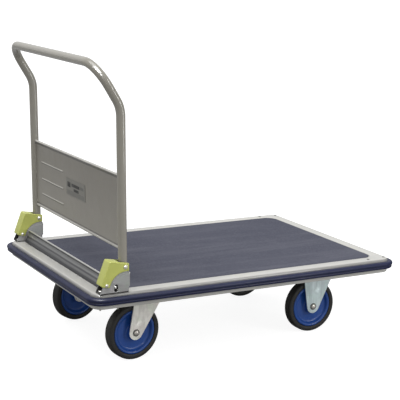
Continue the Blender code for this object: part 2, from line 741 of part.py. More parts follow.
def make_rigid_caster(side, looks):
    x, y = RIGID_PLATE_X, caster_y(side)
    low, high = CASTER_HEIGHT - PLATE_THICKNESS, CASTER_HEIGHT
    plate = loft([
        [Vector(p) + Vector((x, y, 0)) for p in rounded_rectangle(*[s / 2 for s in PLATE_SIZE], 0.009, z, 2)]
        for z in (low, high)
    ])
    fork = add_object(f"rigid_fork_{side}", plate, looks["fork"])
    outline = fork_leg_outline(RIGID_AXLE_X, high - 0.0006, x - 0.051, x + 0.053, 0.0195)
    for i, leg in enumerate(fork_legs(x, y, outline)):
        unite(fork, f"leg_{i}", leg)
    cut(fork, "axle_hole", axle_hole(RIGID_AXLE_X, y))
    bolt = axle_bolt(RIGID_AXLE_X, y)
    add_object(f"rigid_axle_{side}", bolt, looks["zinc"], (RIGID_AXLE_X, y, AXLE_Z))
    for name, shape, look in wheel_shapes(RIGID_AXLE_X, y):
        add_object(f"{name}_front_{side}", shape, looks[look], (RIGID_AXLE_X, y, AXLE_Z))


def mirrored_profile(half):
    """A closed turned section from its half with positive heights, outermost point last."""
    return [(r, -h) for r, h in half] + [(r, h) for r, h in reversed(half)]


def wheel_shapes(x, y):
    """The bearing, rim and tyre of a wheel, each as (name, shape, look)."""
    centre = (x, y, AXLE_Z)
    hub = HUB_RADIUS
    bearing = mirrored_profile([(AXLE_RADIUS + GAP, 0.0172), (hub, 0.0172)])
    rim = mirrored_profile([
        (hub + GAP, 0.0165), (0.0185, 0.0165), (0.0205, 0.0050), (0.0490, 0.0042),
        (0.0560, 0.0138), (RIM_RADIUS, 0.0138),
    ])
    flat = WHEEL_RADIUS / math.cos(math.pi / TYRE_SEGMENTS)
    half = TYRE_WIDTH / 2
    seat = (RIM_RADIUS + GAP) / math.cos(math.pi / TYRE_SEGMENTS)
    tyre = mirrored_profile([
        (seat, half - 0.0005), (flat - 0.0060, half), (flat - 0.0018, half - 0.0022), (flat, half - 0.0070),
    ])
    return [
        ("wheel_bearing", turned(bearing, centre, "y", BOLT_SEGMENTS, ring=True), "zinc"),
        ("wheel_rim", turned(rim, centre, "y", ROUND_SEGMENTS, ring=True), "wheel"),
        ("tyre", turned(tyre, centre, "y", TYRE_SEGMENTS, ring=True, phase=0.5), "tyre"),
    ]


# ---------------------------------------------------------------- the cart
def main():
    for old in list(bpy.data.objects):
        bpy.data.objects.remove(old, do_unlink=True)

    looks = {
        "deck": material("deck_paint", (0.62, 0.62, 0.59), 0.35),
        "mat": material("deck_mat_vinyl", (0.125, 0.130, 0.165), 0.80),
        "bumper": material("bumper_rubber", (0.022, 0.032, 0.080), 0.38),
        "under": material("under_frame_paint", (0.42, 0.42, 0.40), 0.45),
        "bracket": material("bracket_steel", (0.40, 0.40, 0.39), 0.40, 0.3),
        "guard": material("guard_plastic", (0.50, 0.52, 0.09), 0.42),
        "zinc": material("zinc_fastener", (0.60, 0.59, 0.54), 0.35, 0.9),
        "handle": material("handle_paint", (0.33, 0.32, 0.28), 0.33),
        "panel": material("panel_paint", (0.27, 0.26, 0.23), 0.42),
        "label": material("label_blank", (0.20, 0.20, 0.21), 0.45),
        "fork": material("fork_zinc", (0.55, 0.57, 0.55), 0.38, 0.8),
        "wheel": material("wheel_blue", (0.018, 0.035, 0.210), 0.42),
        "tyre": material("tyre_rubber", (0.020, 0.020, 0.019), 0.70),
        "plug": material("plug_plastic", (0.030, 0.030, 0.030), 0.55),
        "spring": material("spring_steel", (0.30, 0.30, 0.30), 0.35, 0.9),
    }

    make_deck_pan(looks["deck"])
    make_deck_mat(looks["mat"])
    make_bumper(looks["bumper"])
    make_under_frame(looks["under"])
    for side in SIDES:
        make_bracket(side, looks["bracket"])
        make_bracket_bolts(side, looks["zinc"])
        make_guard(side, looks["guard"])
        make_bracket_pins(side, looks["zinc"])
        make_pivot_bush(side, looks["zinc"])
        make_foot_plug(side, looks["plug"])
        make_pedal_pin(side, looks["zinc"])
        make_pedal_spring(side, looks["spring"])
        make_swivel_caster(side, looks)
        make_rigid_caster(side, looks)
    make_handle_tube(looks["handle"])
    make_handle_panel(looks["panel"])
    make_label(looks["label"])
    make_release_plate(looks["bracket"])
    make_lock_rod(looks["zinc"])


main()
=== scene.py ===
from math import acos, atan2, cos, hypot, pi, radians, sin, sqrt

import bmesh
import bpy
from mathutils import Matrix, Vector


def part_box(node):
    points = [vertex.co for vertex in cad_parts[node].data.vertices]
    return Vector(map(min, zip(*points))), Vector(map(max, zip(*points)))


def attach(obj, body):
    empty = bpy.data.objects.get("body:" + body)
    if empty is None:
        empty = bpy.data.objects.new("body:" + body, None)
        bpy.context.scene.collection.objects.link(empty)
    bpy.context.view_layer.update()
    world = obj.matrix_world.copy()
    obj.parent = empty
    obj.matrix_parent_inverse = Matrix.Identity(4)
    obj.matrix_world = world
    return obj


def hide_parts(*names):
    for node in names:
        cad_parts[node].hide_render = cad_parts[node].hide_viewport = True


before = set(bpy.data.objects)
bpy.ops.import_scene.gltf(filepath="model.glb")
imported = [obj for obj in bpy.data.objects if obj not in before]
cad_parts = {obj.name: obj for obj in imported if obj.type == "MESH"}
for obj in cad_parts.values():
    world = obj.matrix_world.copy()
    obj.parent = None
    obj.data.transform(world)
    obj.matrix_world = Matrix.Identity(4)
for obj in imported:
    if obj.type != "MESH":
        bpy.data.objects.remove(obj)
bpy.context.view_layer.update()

# ---------------------------------------------------------------- dimensions
# As in the CAD part, apart from the radii of the handle's bends, which are read from the photo.
DECK_LENGTH, DECK_WIDTH, DECK_HEIGHT = 0.91, 0.61, 0.2195
SHEET = 0.002
DECK_BOTTOM = DECK_HEIGHT - 0.039
RIM_WIDTH = 0.0355
DECK_CORNER, RECESS_CORNER, RECESS_DEPTH = 0.027, 0.03, 0.0025
PAN_UNDERSIDE = DECK_HEIGHT - RECESS_DEPTH - SHEET
BUMPER_TOP = DECK_HEIGHT - 0.005
BUMPER_HEIGHT = 0.0215
WHEEL_RADIUS, RIM_RADIUS = 0.075, 0.0605
WHEEL_TRACK = 0.376
SWIVEL_X, SWIVEL_TRAIL = -0.261, 0.038
SWIVEL_REST = {"near": radians(5), "far": radians(11.5)}
RIGID_AXLE_X, RIGID_PLATE_X = 0.2625, 0.2775
CASTER_HEIGHT = DECK_HEIGHT - 0.0343
PLATE_THICKNESS = 0.0035
PLATE_SIZE, PLATE_BOLTS = (0.112, 0.088), (0.043, 0.031)
FORK_SHEET, FORK_GAP, AXLE_RADIUS = 0.003, 0.036, 0.006
HANDLE_SPACING, TUBE_RADIUS, TUBE_WALL, HANDLE_LEAN = 0.581, 0.0115, 0.0018, 0.028
PIVOT_X, PIVOT_Z = -0.3762, DECK_HEIGHT + 0.066
TUBE_STUB, BEND_START, BEND_RADIUS, BEND_ANGLE = 0.039, 0.3734, 0.08, radians(30.6)
GRIP_REACH, GRIP_CORNER = 0.1034, 0.064
PANEL_BOTTOM, PANEL_TOP, PANEL_SHEET = 0.037, 0.229, 0.0014
PANEL_BEADS = (0.171, 0.1235, 0.0795)
CHEEK_SHEET, CHEEK_GAP, GUARD_WALL = 0.0023, 0.024, 0.0024
PIVOT_PIN_RADIUS, ROD_RADIUS = 0.004, 0.0035
SCREW_HOLE, PEDAL_PIN_HOLE, BUSH_HOLE = 0.0026, 0.0023, 0.0063
CUT_DEPTH = 0.022
WEB_SHEET, PEDAL_SHEET = 0.0021, 0.0011
ROD_X, ROD_Z = -0.4012, DECK_HEIGHT + 0.016
PEDAL_X, PEDAL_Z, PEDAL_SWING, PEDAL_HALF = -0.4102, DECK_HEIGHT + 0.008, radians(35), 0.269
GAP = 0.0003
SPECKLE_ROUGHNESS = 0.29  # a roughness that wanders across this value renders as speckles
FOOT_X = -0.3741
AXLE_Z = WHEEL_RADIUS
SWIVEL_AXLE_X = SWIVEL_X - SWIVEL_TRAIL
SIDES = {"near": -1, "far": 1}


# ---------------------------------------------------------------- materials
class Graph:
    """Short ways to add nodes to a shader tree."""

    def __init__(self, tree):
        self.tree = tree

    def node(self, kind, **values):
        """A new shader node with some inputs set; _ stands for the space in an input's name."""
        node = self.tree.nodes.new("ShaderNode" + kind)
        for name, value in values.items():
            node.inputs[name.replace("_", " ")].default_value = value
        return node

    def link(self, a, b):
        self.tree.links.new(a, b)

    def ramp(self, value, low, high, start=0, end=1, shape="LINEAR"):
        node = self.node("MapRange", From_Min=low, From_Max=high, To_Min=start, To_Max=end)
        node.interpolation_type = shape
        self.link(value, node.inputs["Value"])
        return node.outputs["Result"]

    def feed(self, socket, value):
        """Sets an input to a number, or links it to another node."""
        if isinstance(value, (int, float)):
            socket.default_value = value
        else:
            self.link(value, socket)

    def math(self, operation, a, b):
        node = self.node("Math")
        node.operation = operation
        self.feed(node.inputs[0], a)
        self.feed(node.inputs[1], b)
        return node.outputs[0]

    def times(self, a, b):
        return self.math("MULTIPLY", a, b)

    def split(self, vector, index):
        node = self.node("SeparateXYZ")
        self.link(vector, node.inputs[0])
        return node.outputs[index]


class Look(Graph):
    """A small builder for a procedural material on one Principled shader."""

    def __init__(self, name, colour, roughness, metallic=0, coat=0, coat_roughness=0.1):
        self.material = bpy.data.materials.new(name)
        self.material.use_nodes = True
        super().__init__(self.material.node_tree)
        self.shader = self.tree.nodes["Principled BSDF"]
        self.set("Metallic", metallic)
        self.set("Coat Weight", coat)
        self.set("Coat Roughness", coat_roughness)
        self.place = self.node("TexCoord").outputs["Object"]
        self.colour = self.rgb(colour)
        self.rough = roughness
        self.height = None
        self.material.diffuse_color = (*colour, 1)

    def set(self, socket, value):
        self.shader.inputs[socket].default_value = value

    def rgb(self, colour):
        output = self.node("RGB").outputs[0]
        output.default_value = (*colour, 1)
        return output

    def textured(self, node, stretch):
        """Reads a texture in object space, stretched by a scale for each axis where one is given."""
        place = self.place
        if stretch:
            mapping = self.node("Mapping", Scale=stretch)
            self.link(place, mapping.inputs["Vector"])
            place = mapping.outputs["Vector"]
        self.link(place, node.inputs["Vector"])
        return node.outputs[0]

    def noise(self, scale, detail=3, rough=0.55, stretch=None, distortion=0):
        node = self.node("TexNoise", Scale=scale, Detail=detail, Roughness=rough, Distortion=distortion)
        return self.textured(node, stretch)

    def cells(self, scale):
        return self.textured(self.node("TexVoronoi", Scale=scale), None)

    def band(self, value, low, high, soft):
        """1 between two values and 0 outside them, with soft ends outside."""
        return self.times(self.ramp(value, low - soft, low), self.ramp(value, high, high + soft, 1, 0))

    def mix(self, factor, colour):
        """Mixes the colour so far with another by a 0-to-1 value."""
        node = self.node("Mix")
        node.data_type = "RGBA"
        self.link(factor, node.inputs[0])
        self.link(self.colour, node.inputs[6])
        self.link(self.rgb(colour), node.inputs[7])
        self.colour = node.outputs[2]

    def tint(self, value, low, high, amount, colour):
        """Mixes in a colour where a value is high."""
        self.mix(self.ramp(value, low, high, 0, amount), colour)

    def cloud(self, low, high, amount, colour, *noise):
        """Mixes in a colour where a noise is high."""
        self.tint(self.noise(*noise), low, high, amount, colour)

    def roughen(self, low, high, *noise):
        """Lets the roughness wander with a noise, on one side of the limit where speckles start."""
        low = max(low, SPECKLE_ROUGHNESS) if high > SPECKLE_ROUGHNESS else low
        self.rough = self.ramp(self.noise(*noise), 0.12, 0.88, low, high)

    def bump(self, value, distance):
        """Adds a height in metres."""
        step = self.times(value, distance)
        self.height = step if self.height is None else self.math("ADD", self.height, step)

    def edges(self, low, high):
        """0 on flats and 1 on convex edges."""
        return self.ramp(self.node("NewGeometry").outputs["Pointiness"], low, high)

    def facing(self, direction, low, high):
        """How far a surface faces along a direction."""
        product = self.node("VectorMath")
        product.operation = "DOT_PRODUCT"
        self.link(self.node("NewGeometry").outputs["Normal"], product.inputs[0])
        product.inputs[1].default_value = direction
        return self.ramp(product.outputs["Value"], low, high)

    def axis(self, index):
        return self.split(self.place, index)

    def done(self):
        self.link(self.colour, self.shader.inputs["Base Color"])
        self.feed(self.shader.inputs["Roughness"], self.rough)
        if self.height is not None:
            node = self.node("Bump", Strength=1, Distance=1)
            self.link(self.height, node.inputs["Height"])
            self.link(node.outputs["Normal"], self.shader.inputs["Normal"])
        return self.material


def scaled(colour, share, lift=0):
    return tuple(min(c * share + lift, 1) for c in colour)


def paint(name, colour, roughness, coat=0.35, shade=0.05, scratch=0.25, wear=0.55, edge=0):
    """Sprayed enamel: orange peel, faint blotches, dust, hairline scratches and rubbed edges; with edge,
    painted shade on the deck rim's rounded edge.
    """
    look = Look(name, colour, roughness, 0, coat, 0.07)
    warm = (colour[0] * (1 + shade), colour[1] * (1 + 0.7 * shade), colour[2] * (1 - shade))
    look.cloud(0.42, 0.72, 0.75, scaled(colour, 1 - 2.2 * shade), 5, 4, 0.6)
    look.cloud(0.45, 0.75, 0.6, warm, 23, 3)
    # Painted shade: where edge is given, the rim's rounded upper edge on the sides towards -X and -Y is
    # darkened to that share of the colour.
    if edge:
        upper = look.ramp(look.axis(2), DECK_HEIGHT - 0.011, DECK_HEIGHT - 0.008)
        rounded = look.times(look.facing((0, 0, 1), 0.985, 0.72), upper)
        shaded = look.times(rounded, look.facing((1, 1, 0), 0.05, -0.15))
        look.mix(shaded, scaled(colour, edge))
    if scratch:
        look.cloud(0.655, 0.69, scratch, scaled(colour, 1.25), 70, 2, 0.5, (0.06, 1, 1), 0.6)
    if wear:
        worn = look.times(look.edges(0.6, 0.7), look.ramp(look.noise(60, 4), 0.45, 0.62))
        look.mix(look.times(worn, wear), (0.3, 0.29, 0.27))
    look.roughen(roughness * 0.8, roughness * 1.4, 38, 2)
    look.bump(look.noise(420, 2, 0.4), 0.000035)
    return look.done()


def panel_paint():
    """The handle's enamel on flat sheet, lighter towards the bottom, with painted highlights on the rolled
    edges and beads and painted shade lines beside them.
    """
    look = Look("panel_enamel", (0.21, 0.197, 0.168), 0.34, 0, 0.4, 0.07)
    look.cloud(0.42, 0.72, 0.7, (0.178, 0.167, 0.144), 5, 4, 0.6)
    look.cloud(0.45, 0.75, 0.6, (0.203, 0.189, 0.156), 23, 3)
    top, bottom = PIVOT_Z + PANEL_TOP, PIVOT_Z + PANEL_BOTTOM
    # Painted light: the face grows lighter towards its bottom edge.
    look.tint(look.axis(2), bottom + 0.15, bottom + 0.01, 0.55, (0.285, 0.27, 0.236))
    up = look.axis(2)
    # Painted highlights along the top of each rolled edge, and painted shade lines under the top roll, above
    # the bottom roll and along the bottom edge.
    for low, high, colour, strength in (
        (top - 0.011, top - 0.0052, (0.036, 0.034, 0.03), 0.8),
        (top - 0.0036, top + 0.001, (0.52, 0.51, 0.48), 0.85),
        (bottom + 0.0078, bottom + 0.0112, (0.038, 0.036, 0.032), 0.75),
        (bottom + 0.002, bottom + 0.0072, (0.4, 0.39, 0.36), 0.85),
        (bottom - 0.001, bottom + 0.001, (0.05, 0.047, 0.042), 0.6),
    ):
        patchy = look.ramp(look.noise(46, 3), 0.3, 0.65, 0.75 * strength, strength)
        look.mix(look.times(look.band(up, low, high, 0.0008), patchy), colour)
    ends = look.band(look.axis(1), 0.085, 0.236, 0.006)
    # Painted highlight along the top of each pressed bead and a painted shade line under it, faded out
    # towards the beads' ends.
    for bead in PANEL_BEADS:
        level = PIVOT_Z + bead
        for low, high, colour, strength in (
            (0, 0.0016, (0.33, 0.32, 0.29), 0.85), (-0.0026, -0.0008, (0.08, 0.076, 0.066), 0.6),
        ):
            line = look.times(look.band(up, level + low, level + high, 0.0006), ends)
            look.mix(look.times(line, strength), colour)
    look.roughen(0.27, 0.46, 38, 2)
    look.bump(look.noise(420, 2, 0.4), 0.00003)
    return look.done()


def zinc(name, colour, roughness, metallic=0.85, direction=(1, 1, 0.12), mottle=0, painted_hollow_shade=0):
    """Zinc-plated steel: drawn grain, cloudy passivation tints and dull spots, and where asked, painted shade
    inside a bracket between its cheeks.
    """
    look = Look(name, colour, roughness, metallic)
    pink = (colour[0] * 1.03, colour[1] * 0.97, colour[2] * 0.98)
    green = (colour[0] * 0.93, colour[1] * 1, colour[2] * 0.92)
    look.cloud(0.42, 0.66, 0.9, pink, 26, 3, 0.5)
    look.cloud(0.46, 0.7, 0.8, green, 34, 3, 0.5, None, 0.8)
    if mottle:
        look.cloud(0.46, 0.6, mottle, scaled(colour, 0.6), 30, 3, 0.6, (1, 1, 0.6), 1.4)
        look.cloud(0.48, 0.6, 1.6 * mottle, scaled(colour, 0.58), 75, 2, 0.5, (1, 1, 0.07))
    grain = look.noise(300, 3, 0.6, direction)
    look.tint(grain, 0.35, 0.75, 0.35, scaled(colour, 0.72))
    spots = look.ramp(look.cells(95), 0.02, 0.1, 1, 0)
    dull = look.times(spots, look.ramp(look.noise(12), 0.48, 0.62))
    look.mix(look.times(dull, 0.5), scaled(colour, 0.5))
    if painted_hollow_shade:
        # Painted shade: the cheeks' inner faces behind the foot are darkened almost to black.
        off = look.math("SUBTRACT", look.math("ABSOLUTE", look.axis(1), 0), HANDLE_SPACING / 2)
        wall = CHEEK_GAP / 2
        inner = look.ramp(look.math("ABSOLUTE", off, 0), wall + 0.0003, wall + 0.0007, painted_hollow_shade, 0)
        behind = look.ramp(look.axis(0), FOOT_X + 0.009, FOOT_X + 0.01, 1, 0)
        look.mix(look.times(inner, behind), (0.016, 0.016, 0.016))
    look.roughen(roughness * 0.7, roughness * 1.55, 55, 2, 0.65)
    look.bump(grain, 0.00003)
    look.bump(look.noise(90, 3), 0.00005)
    return look.done()


def vinyl_mat():
    """A deck mat with a fine pebbled grain, lighter scuffs along its length and trodden dust."""
    look = Look("vinyl_mat_grain", (0.05, 0.053, 0.075), 0.72)
    look.set("Specular IOR Level", 0.14)
    pebble = look.cells(460)
    look.tint(pebble, 0.15, 0.75, 0.5, (0.04, 0.042, 0.062))
    look.cloud(0.45, 0.7, 0.45, (0.1, 0.104, 0.135), 900, 2)
    look.cloud(0.5, 0.68, 0.55, (0.1, 0.103, 0.13), 230, 3, 0.7)
    look.cloud(0.52, 0.7, 0.55, (0.03, 0.032, 0.052), 190, 3, 0.7)
    look.cloud(0.45, 0.72, 0.4, (0.082, 0.085, 0.11), 3.5, 4, 0.6, (1, 1.8, 1))
    look.cloud(0.5, 0.7, 0.4, (0.108, 0.11, 0.135), 16, 4, 0.62, (0.1, 1, 1), 0.3)
    look.cloud(0.6, 0.75, 0.2, (0.11, 0.11, 0.132), 22, 4, 0.6, (1, 0.1, 1), 0.5)
    look.cloud(0.6, 0.78, 0.3, (0.038, 0.04, 0.06), 9, 5, 0.7)
    look.roughen(0.6, 0.84, 7, 5, 0.6)
    look.bump(pebble, 0.00022)
    look.bump(look.noise(1100, 2), 0.00006)
    return look.done()


def rubber(name, colour, roughness, dust, dust_amount, coat=0):
    """Moulded rubber: dull bloom, dust in patches and a fine skin."""
    look = Look(name, colour, roughness, 0, coat, 0.22)
    look.set("Specular IOR Level", 0.28 if coat else 0.5)
    look.cloud(0.4, 0.75, 0.55, scaled(colour, 0.72), 8, 5, 0.65)
    powder = look.times(look.noise(30, 5, 0.7), look.facing((0, 0, 1), -0.6, 0.9))
    look.tint(powder, 0.28, 0.7, dust_amount, dust)
    look.cloud(0.62, 0.78, 0.35, scaled(colour, 1.6), 240, 3, 0.6)
    scuff = look.times(look.edges(0.51, 0.56), look.ramp(look.noise(45, 3), 0.5, 0.66))
    look.mix(look.times(scuff, 0.35), dust)
    look.roughen(roughness * 0.82, roughness * 1.25, 33, 4)
    look.bump(look.noise(520, 3, 0.5), 0.00003)
    look.bump(look.noise(60, 3, 0.5), 0.00006)
    return look.done()


def moulding(name, colour, roughness, shade=0.12, coat=0.15):
    """Injection-moulded plastic: spark-eroded skin, flow shading, handling grime and a painted highlight on
    convex edges.
    """
    look = Look(name, colour, roughness, 0, coat, 0.2)
    look.cloud(0.38, 0.7, 0.8, scaled(colour, 1 - shade), 14, 4)
    look.cloud(0.5, 0.72, 0.5, scaled(colour, 1 + shade), 40, 3)
    grime = look.times(look.noise(75, 5, 0.7), look.ramp(look.noise(9), 0.45, 0.7))
    look.tint(grime, 0.25, 0.55, 0.25, scaled(colour, 0.45))
    # Painted highlight: convex edges are lightened.
    look.mix(look.times(look.edges(0.52, 0.6), 0.25), scaled(colour, 1.5, 0.03))
    look.roughen(roughness * 0.85, roughness * 1.25, 50, 4)
    look.bump(look.noise(800, 2), 0.000035)
    look.bump(look.noise(90, 2), 0.00004)
    return look.done()


def label_film():
    """A blank rating film: a pale ground, a square block, and plain bars where words would be."""
    look = Look("label_film_print", (0.2, 0.196, 0.176), 0.42)
    look.set("Specular IOR Level", 0.25)
    across, up = look.axis(1), look.axis(2)

    def bar(low, high, bottom, top, colour, strength):
        soft = 0.0006
        column = look.band(across, low + soft, high - soft, 2 * soft)
        mask = look.times(column, look.band(up, bottom + soft, top - soft, 2 * soft))
        patchy = look.ramp(look.noise(420, 3), 0.35, 0.6, 0.8 * strength, strength)
        look.mix(look.times(mask, patchy), colour)

    ink = (0.006, 0.006, 0.007)
    middle = DECK_HEIGHT + 0.204
    bar(0.029, 0.05, middle - 0.001, middle + 0.013, ink, 1)
    bar(-0.031, 0.022, middle + 0.003, middle + 0.0115, ink, 0.95)
    bar(-0.025, 0.008, middle - 0.0085, middle - 0.001, ink, 0.95)
    bar(-0.058, -0.034, middle + 0.004, middle + 0.012, (0.11, 0.11, 0.105), 0.8)
    for i in range(4):
        bar(-0.06, 0.052, middle - 0.0115 - 0.003 * i, middle - 0.0101 - 0.003 * i, (0.1, 0.1, 0.1), 0.8)
    for low, high in ((-0.0685, -0.0665), (0.0575, 0.0595)):
        bar(low, high, middle - 0.03, middle + 0.03, (0.12, 0.12, 0.115), 0.8)
    look.cloud(0.5, 0.75, 0.3, (0.17, 0.168, 0.16), 40, 4)
    look.roughen(0.3, 0.48, 70, 4)
    look.bump(look.noise(300, 2), 0.00002)
    return look.done()


def wheel_plastic():
    """Blue moulded plastic: flow marks, lighter convex edges and faint dirt."""
    look = Look("wheel_moulding_blue", (0.01, 0.064, 0.29), 0.36, 0, 0.1, 0.18)
    look.cloud(0.4, 0.7, 0.7, (0.008, 0.048, 0.22), 18, 4)
    look.cloud(0.58, 0.8, 0.22, (0.04, 0.11, 0.32), 60, 5, 0.7)
    # Convex edges are lighter.
    look.mix(look.times(look.edges(0.515, 0.57), 0.4), (0.08, 0.125, 0.29))
    look.cloud(0.62, 0.82, 0.25, (0.05, 0.085, 0.18), 11, 5, 0.7)
    look.roughen(0.28, 0.5, 44, 4)
    look.bump(look.noise(700, 2), 0.00003)
    return look.done()


def pedal_zinc():
    """Bright sheet drawn lengthwise: long dark and light streaks run along it, with painted reflections in
    bands at set heights and a painted highlight along the top roll.
    """
    look = Look("pedal_plate_drawn", (0.15, 0.151, 0.156), 0.3, 0.55)
    look.cloud(0.4, 0.56, 0.9, (0.04, 0.041, 0.046), 30, 3, 0.5, (1.6, 0.02, 1.6))
    look.cloud(0.5, 0.66, 0.45, (0.23, 0.23, 0.222), 150, 2, 0.5, (1.5, 0.01, 1.5))
    # Painted reflections: dark and light bands at set heights along the plate, with wavering edges.
    for level, half, colour, strength in (
        (0.0292, 0.001, (0.03, 0.031, 0.034), 0.8), (0.0262, 0.001, (0.25, 0.252, 0.25), 0.55),
        (0.0215, 0.0022, (0.23, 0.232, 0.228), 0.6), (0.0165, 0.0016, (0.034, 0.035, 0.04), 0.7),
        (0.012, 0.0018, (0.14, 0.141, 0.142), 0.5), (0.005, 0.0035, (0.026, 0.027, 0.03), 0.7),
    ):
        wander = look.times(look.noise(9, 3, 0.6, (1, 0.6, 1)), 0.0036)
        height = look.math("ADD", look.axis(2), wander)
        level += DECK_HEIGHT + 0.0018
        look.mix(look.times(look.band(height, level - half, level + half, 0.001), strength), colour)
    # Painted highlight along the top roll of the plate.
    look.tint(look.axis(2), DECK_HEIGHT + 0.0322, DECK_HEIGHT + 0.033, 0.8, (0.56, 0.56, 0.54))
    look.roughen(0.26, 0.4, 60, 2, 0.5, (1, 0.02, 1))
    return look.done()


LOOKS = {
    # edge=0.48 paints shade on the deck rim's rounded edge.
    "deck": paint("deck_enamel", (0.455, 0.45, 0.428), 0.32, 0.4, 0.05, edge=0.48),
    "handle": paint("handle_enamel", (0.255, 0.242, 0.206), 0.19, 0.8, 0.03, 0, 0),
    "panel": panel_paint(),
    "under": paint("under_frame_enamel", (0.36, 0.36, 0.345), 0.5, 0.1, 0.07),
    # The bracket gets painted shade between its cheeks.
    "bracket": zinc("bracket_plate", (0.33, 0.33, 0.328), 0.42, 0.45, (0.15, 1, 1), painted_hollow_shade=0.9),
    "pedal": pedal_zinc(),
    "fork": zinc("fork_plate", (0.68, 0.8, 0.81), 0.34, 0.5, mottle=0.25),
    "swivel": zinc("swivel_plate", (0.93, 0.91, 0.85), 0.4, 0.25, mottle=0.28),
    "bolt": zinc("bolt_plate", (0.66, 0.65, 0.6), 0.28, 0.9, (1, 1, 1)),
    "dull": zinc("dull_plate", (0.12, 0.12, 0.115), 0.45, 0.6, (1, 1, 1)),
    "rod": zinc("rod_plate", (0.6, 0.6, 0.58), 0.25, 0.9, (1, 0.05, 1)),
    "spring": zinc("spring_wire", (0.35, 0.35, 0.34), 0.3, 0.9, (1, 1, 1)),
    "guard": moulding("guard_moulding", (0.44, 0.466, 0.108), 0.36),
    "plug": moulding("plug_moulding", (0.03, 0.03, 0.031), 0.5),
    "wheel": wheel_plastic(),
    "tyre": rubber("tyre_compound", (0.015, 0.0145, 0.0135), 0.6, (0.07, 0.066, 0.06), 0.22),
    "bumper": rubber("bumper_compound", (0.0045, 0.008, 0.04), 0.42, (0.05, 0.054, 0.09), 0.08, 0.06),
    "mat": vinyl_mat(),
    "label": label_film(),
}


# ---------------------------------------------------------------- mesh tools
def loft(loops, ring=False, closed=True):
    """A bmesh through loops of equal length, capped at both ends unless it joins end to start."""
    bm = bmesh.new()
    rows = [[bm.verts.new(p) for p in loop] for loop in loops]
    pairs = list(zip(rows, rows[1:]))
    if ring:
        pairs.append((rows[-1], rows[0]))
    count = len(rows[0])
    for a, b in pairs:
        for i in range(count if closed else count - 1):
            j = (i + 1) % count
            bm.faces.new((a[i], a[j], b[j], b[i]))
    if not ring and closed:
        bm.faces.new(rows[0])
        bm.faces.new(rows[-1])
    return bm


def rounded_rectangle(half_x, half_y, radius, z, steps=12, sides=8):
    """Corner arcs of one radius with the long sides divided, counter-clockwise."""
    corners = []
    for quarter, (sx, sy) in enumerate(((1, 1), (-1, 1), (-1, -1), (1, -1))):
        centre = (sx * (half_x - radius), sy * (half_y - radius))
        turn = arc(centre, radius, 90 * quarter, 90 * (quarter + 1), steps)
        corners += [Vector((x, y, z)) for x, y in turn]
    points = []
    for i, point in enumerate(corners):
        points.append(point)
        if i % (steps + 1) == steps:
            after = corners[(i + 1) % len(corners)]
            points += [point.lerp(after, k / sides) for k in range(1, sides)]
    return points


def circle(centre, radius, axis, height, segments, phase=0):
    points = []
    for i in range(segments):
        angle = 2 * pi * (i + phase) / segments
        a, b = radius * cos(angle), radius * sin(angle)
        offset = {"x": (height, a, b), "y": (a, height, b), "z": (a, b, height)}[axis]
        points.append(Vector(centre) + Vector(offset))
    return points


def mirrored(half):
    """A turned profile from the half of it that lies on the plus side of the middle."""
    return [(r, -h) for r, h in reversed(half)] + half


def turned(profile, centre, axis, segments=32, ring=False, phase=0):
    return loft([circle(centre, r, axis, h, segments, phase) for r, h in profile], ring)


def eased(profile, radius, steps=3):
    """A closed or open profile of (a, b) with each sharp corner replaced by a short arc."""
    points = []
    count = len(profile)
    for i, point in enumerate(profile):
        p = Vector(point)
        if i in (0, count - 1):
            points.append(tuple(p))
            continue
        before, after = Vector(profile[i - 1]) - p, Vector(profile[i + 1]) - p
        reach = min(radius, before.length * 0.45, after.length * 0.45)
        start, end = p + before.normalized() * reach, p + after.normalized() * reach
        for k in range(steps + 1):
            t = k / steps
            points.append(tuple((1 - t) ** 2 * start + 2 * t * (1 - t) * p + t ** 2 * end))
    return points


def arc(centre, radius, start, end, steps):
    points = []
    for i in range(steps + 1):
        angle = radians(start + (end - start) * i / steps)
        points.append((centre[0] + radius * cos(angle), centre[1] + radius * sin(angle)))
    return points


def extruded(outline, low, high):
    return loft([[(x, y, z) for x, z in outline] for y in (low, high)])


def solid(bm, name="part"):
    """A mesh from a bmesh, with its faces pointing out. The bmesh is freed."""
    bmesh.ops.recalc_face_normals(bm, faces=bm.faces)
    mesh = bpy.data.meshes.new(name)
    bm.to_mesh(mesh)
    bm.free()
    return mesh


def placed(name, data):
    obj = bpy.data.objects.new(name, data)
    bpy.context.scene.collection.objects.link(obj)
    return obj


def merged(*parts):
    whole = bmesh.new()
    for part in parts:
        mesh = solid(part)
        whole.from_mesh(mesh)
        bpy.data.meshes.remove(mesh)
    return whole


def evaluated(obj):
    """The mesh that an object shows, modifiers included."""
    bpy.context.view_layer.update()
    graph = bpy.context.evaluated_depsgraph_get()
    return bpy.data.meshes.new_from_object(obj.evaluated_get(graph), depsgraph=graph)


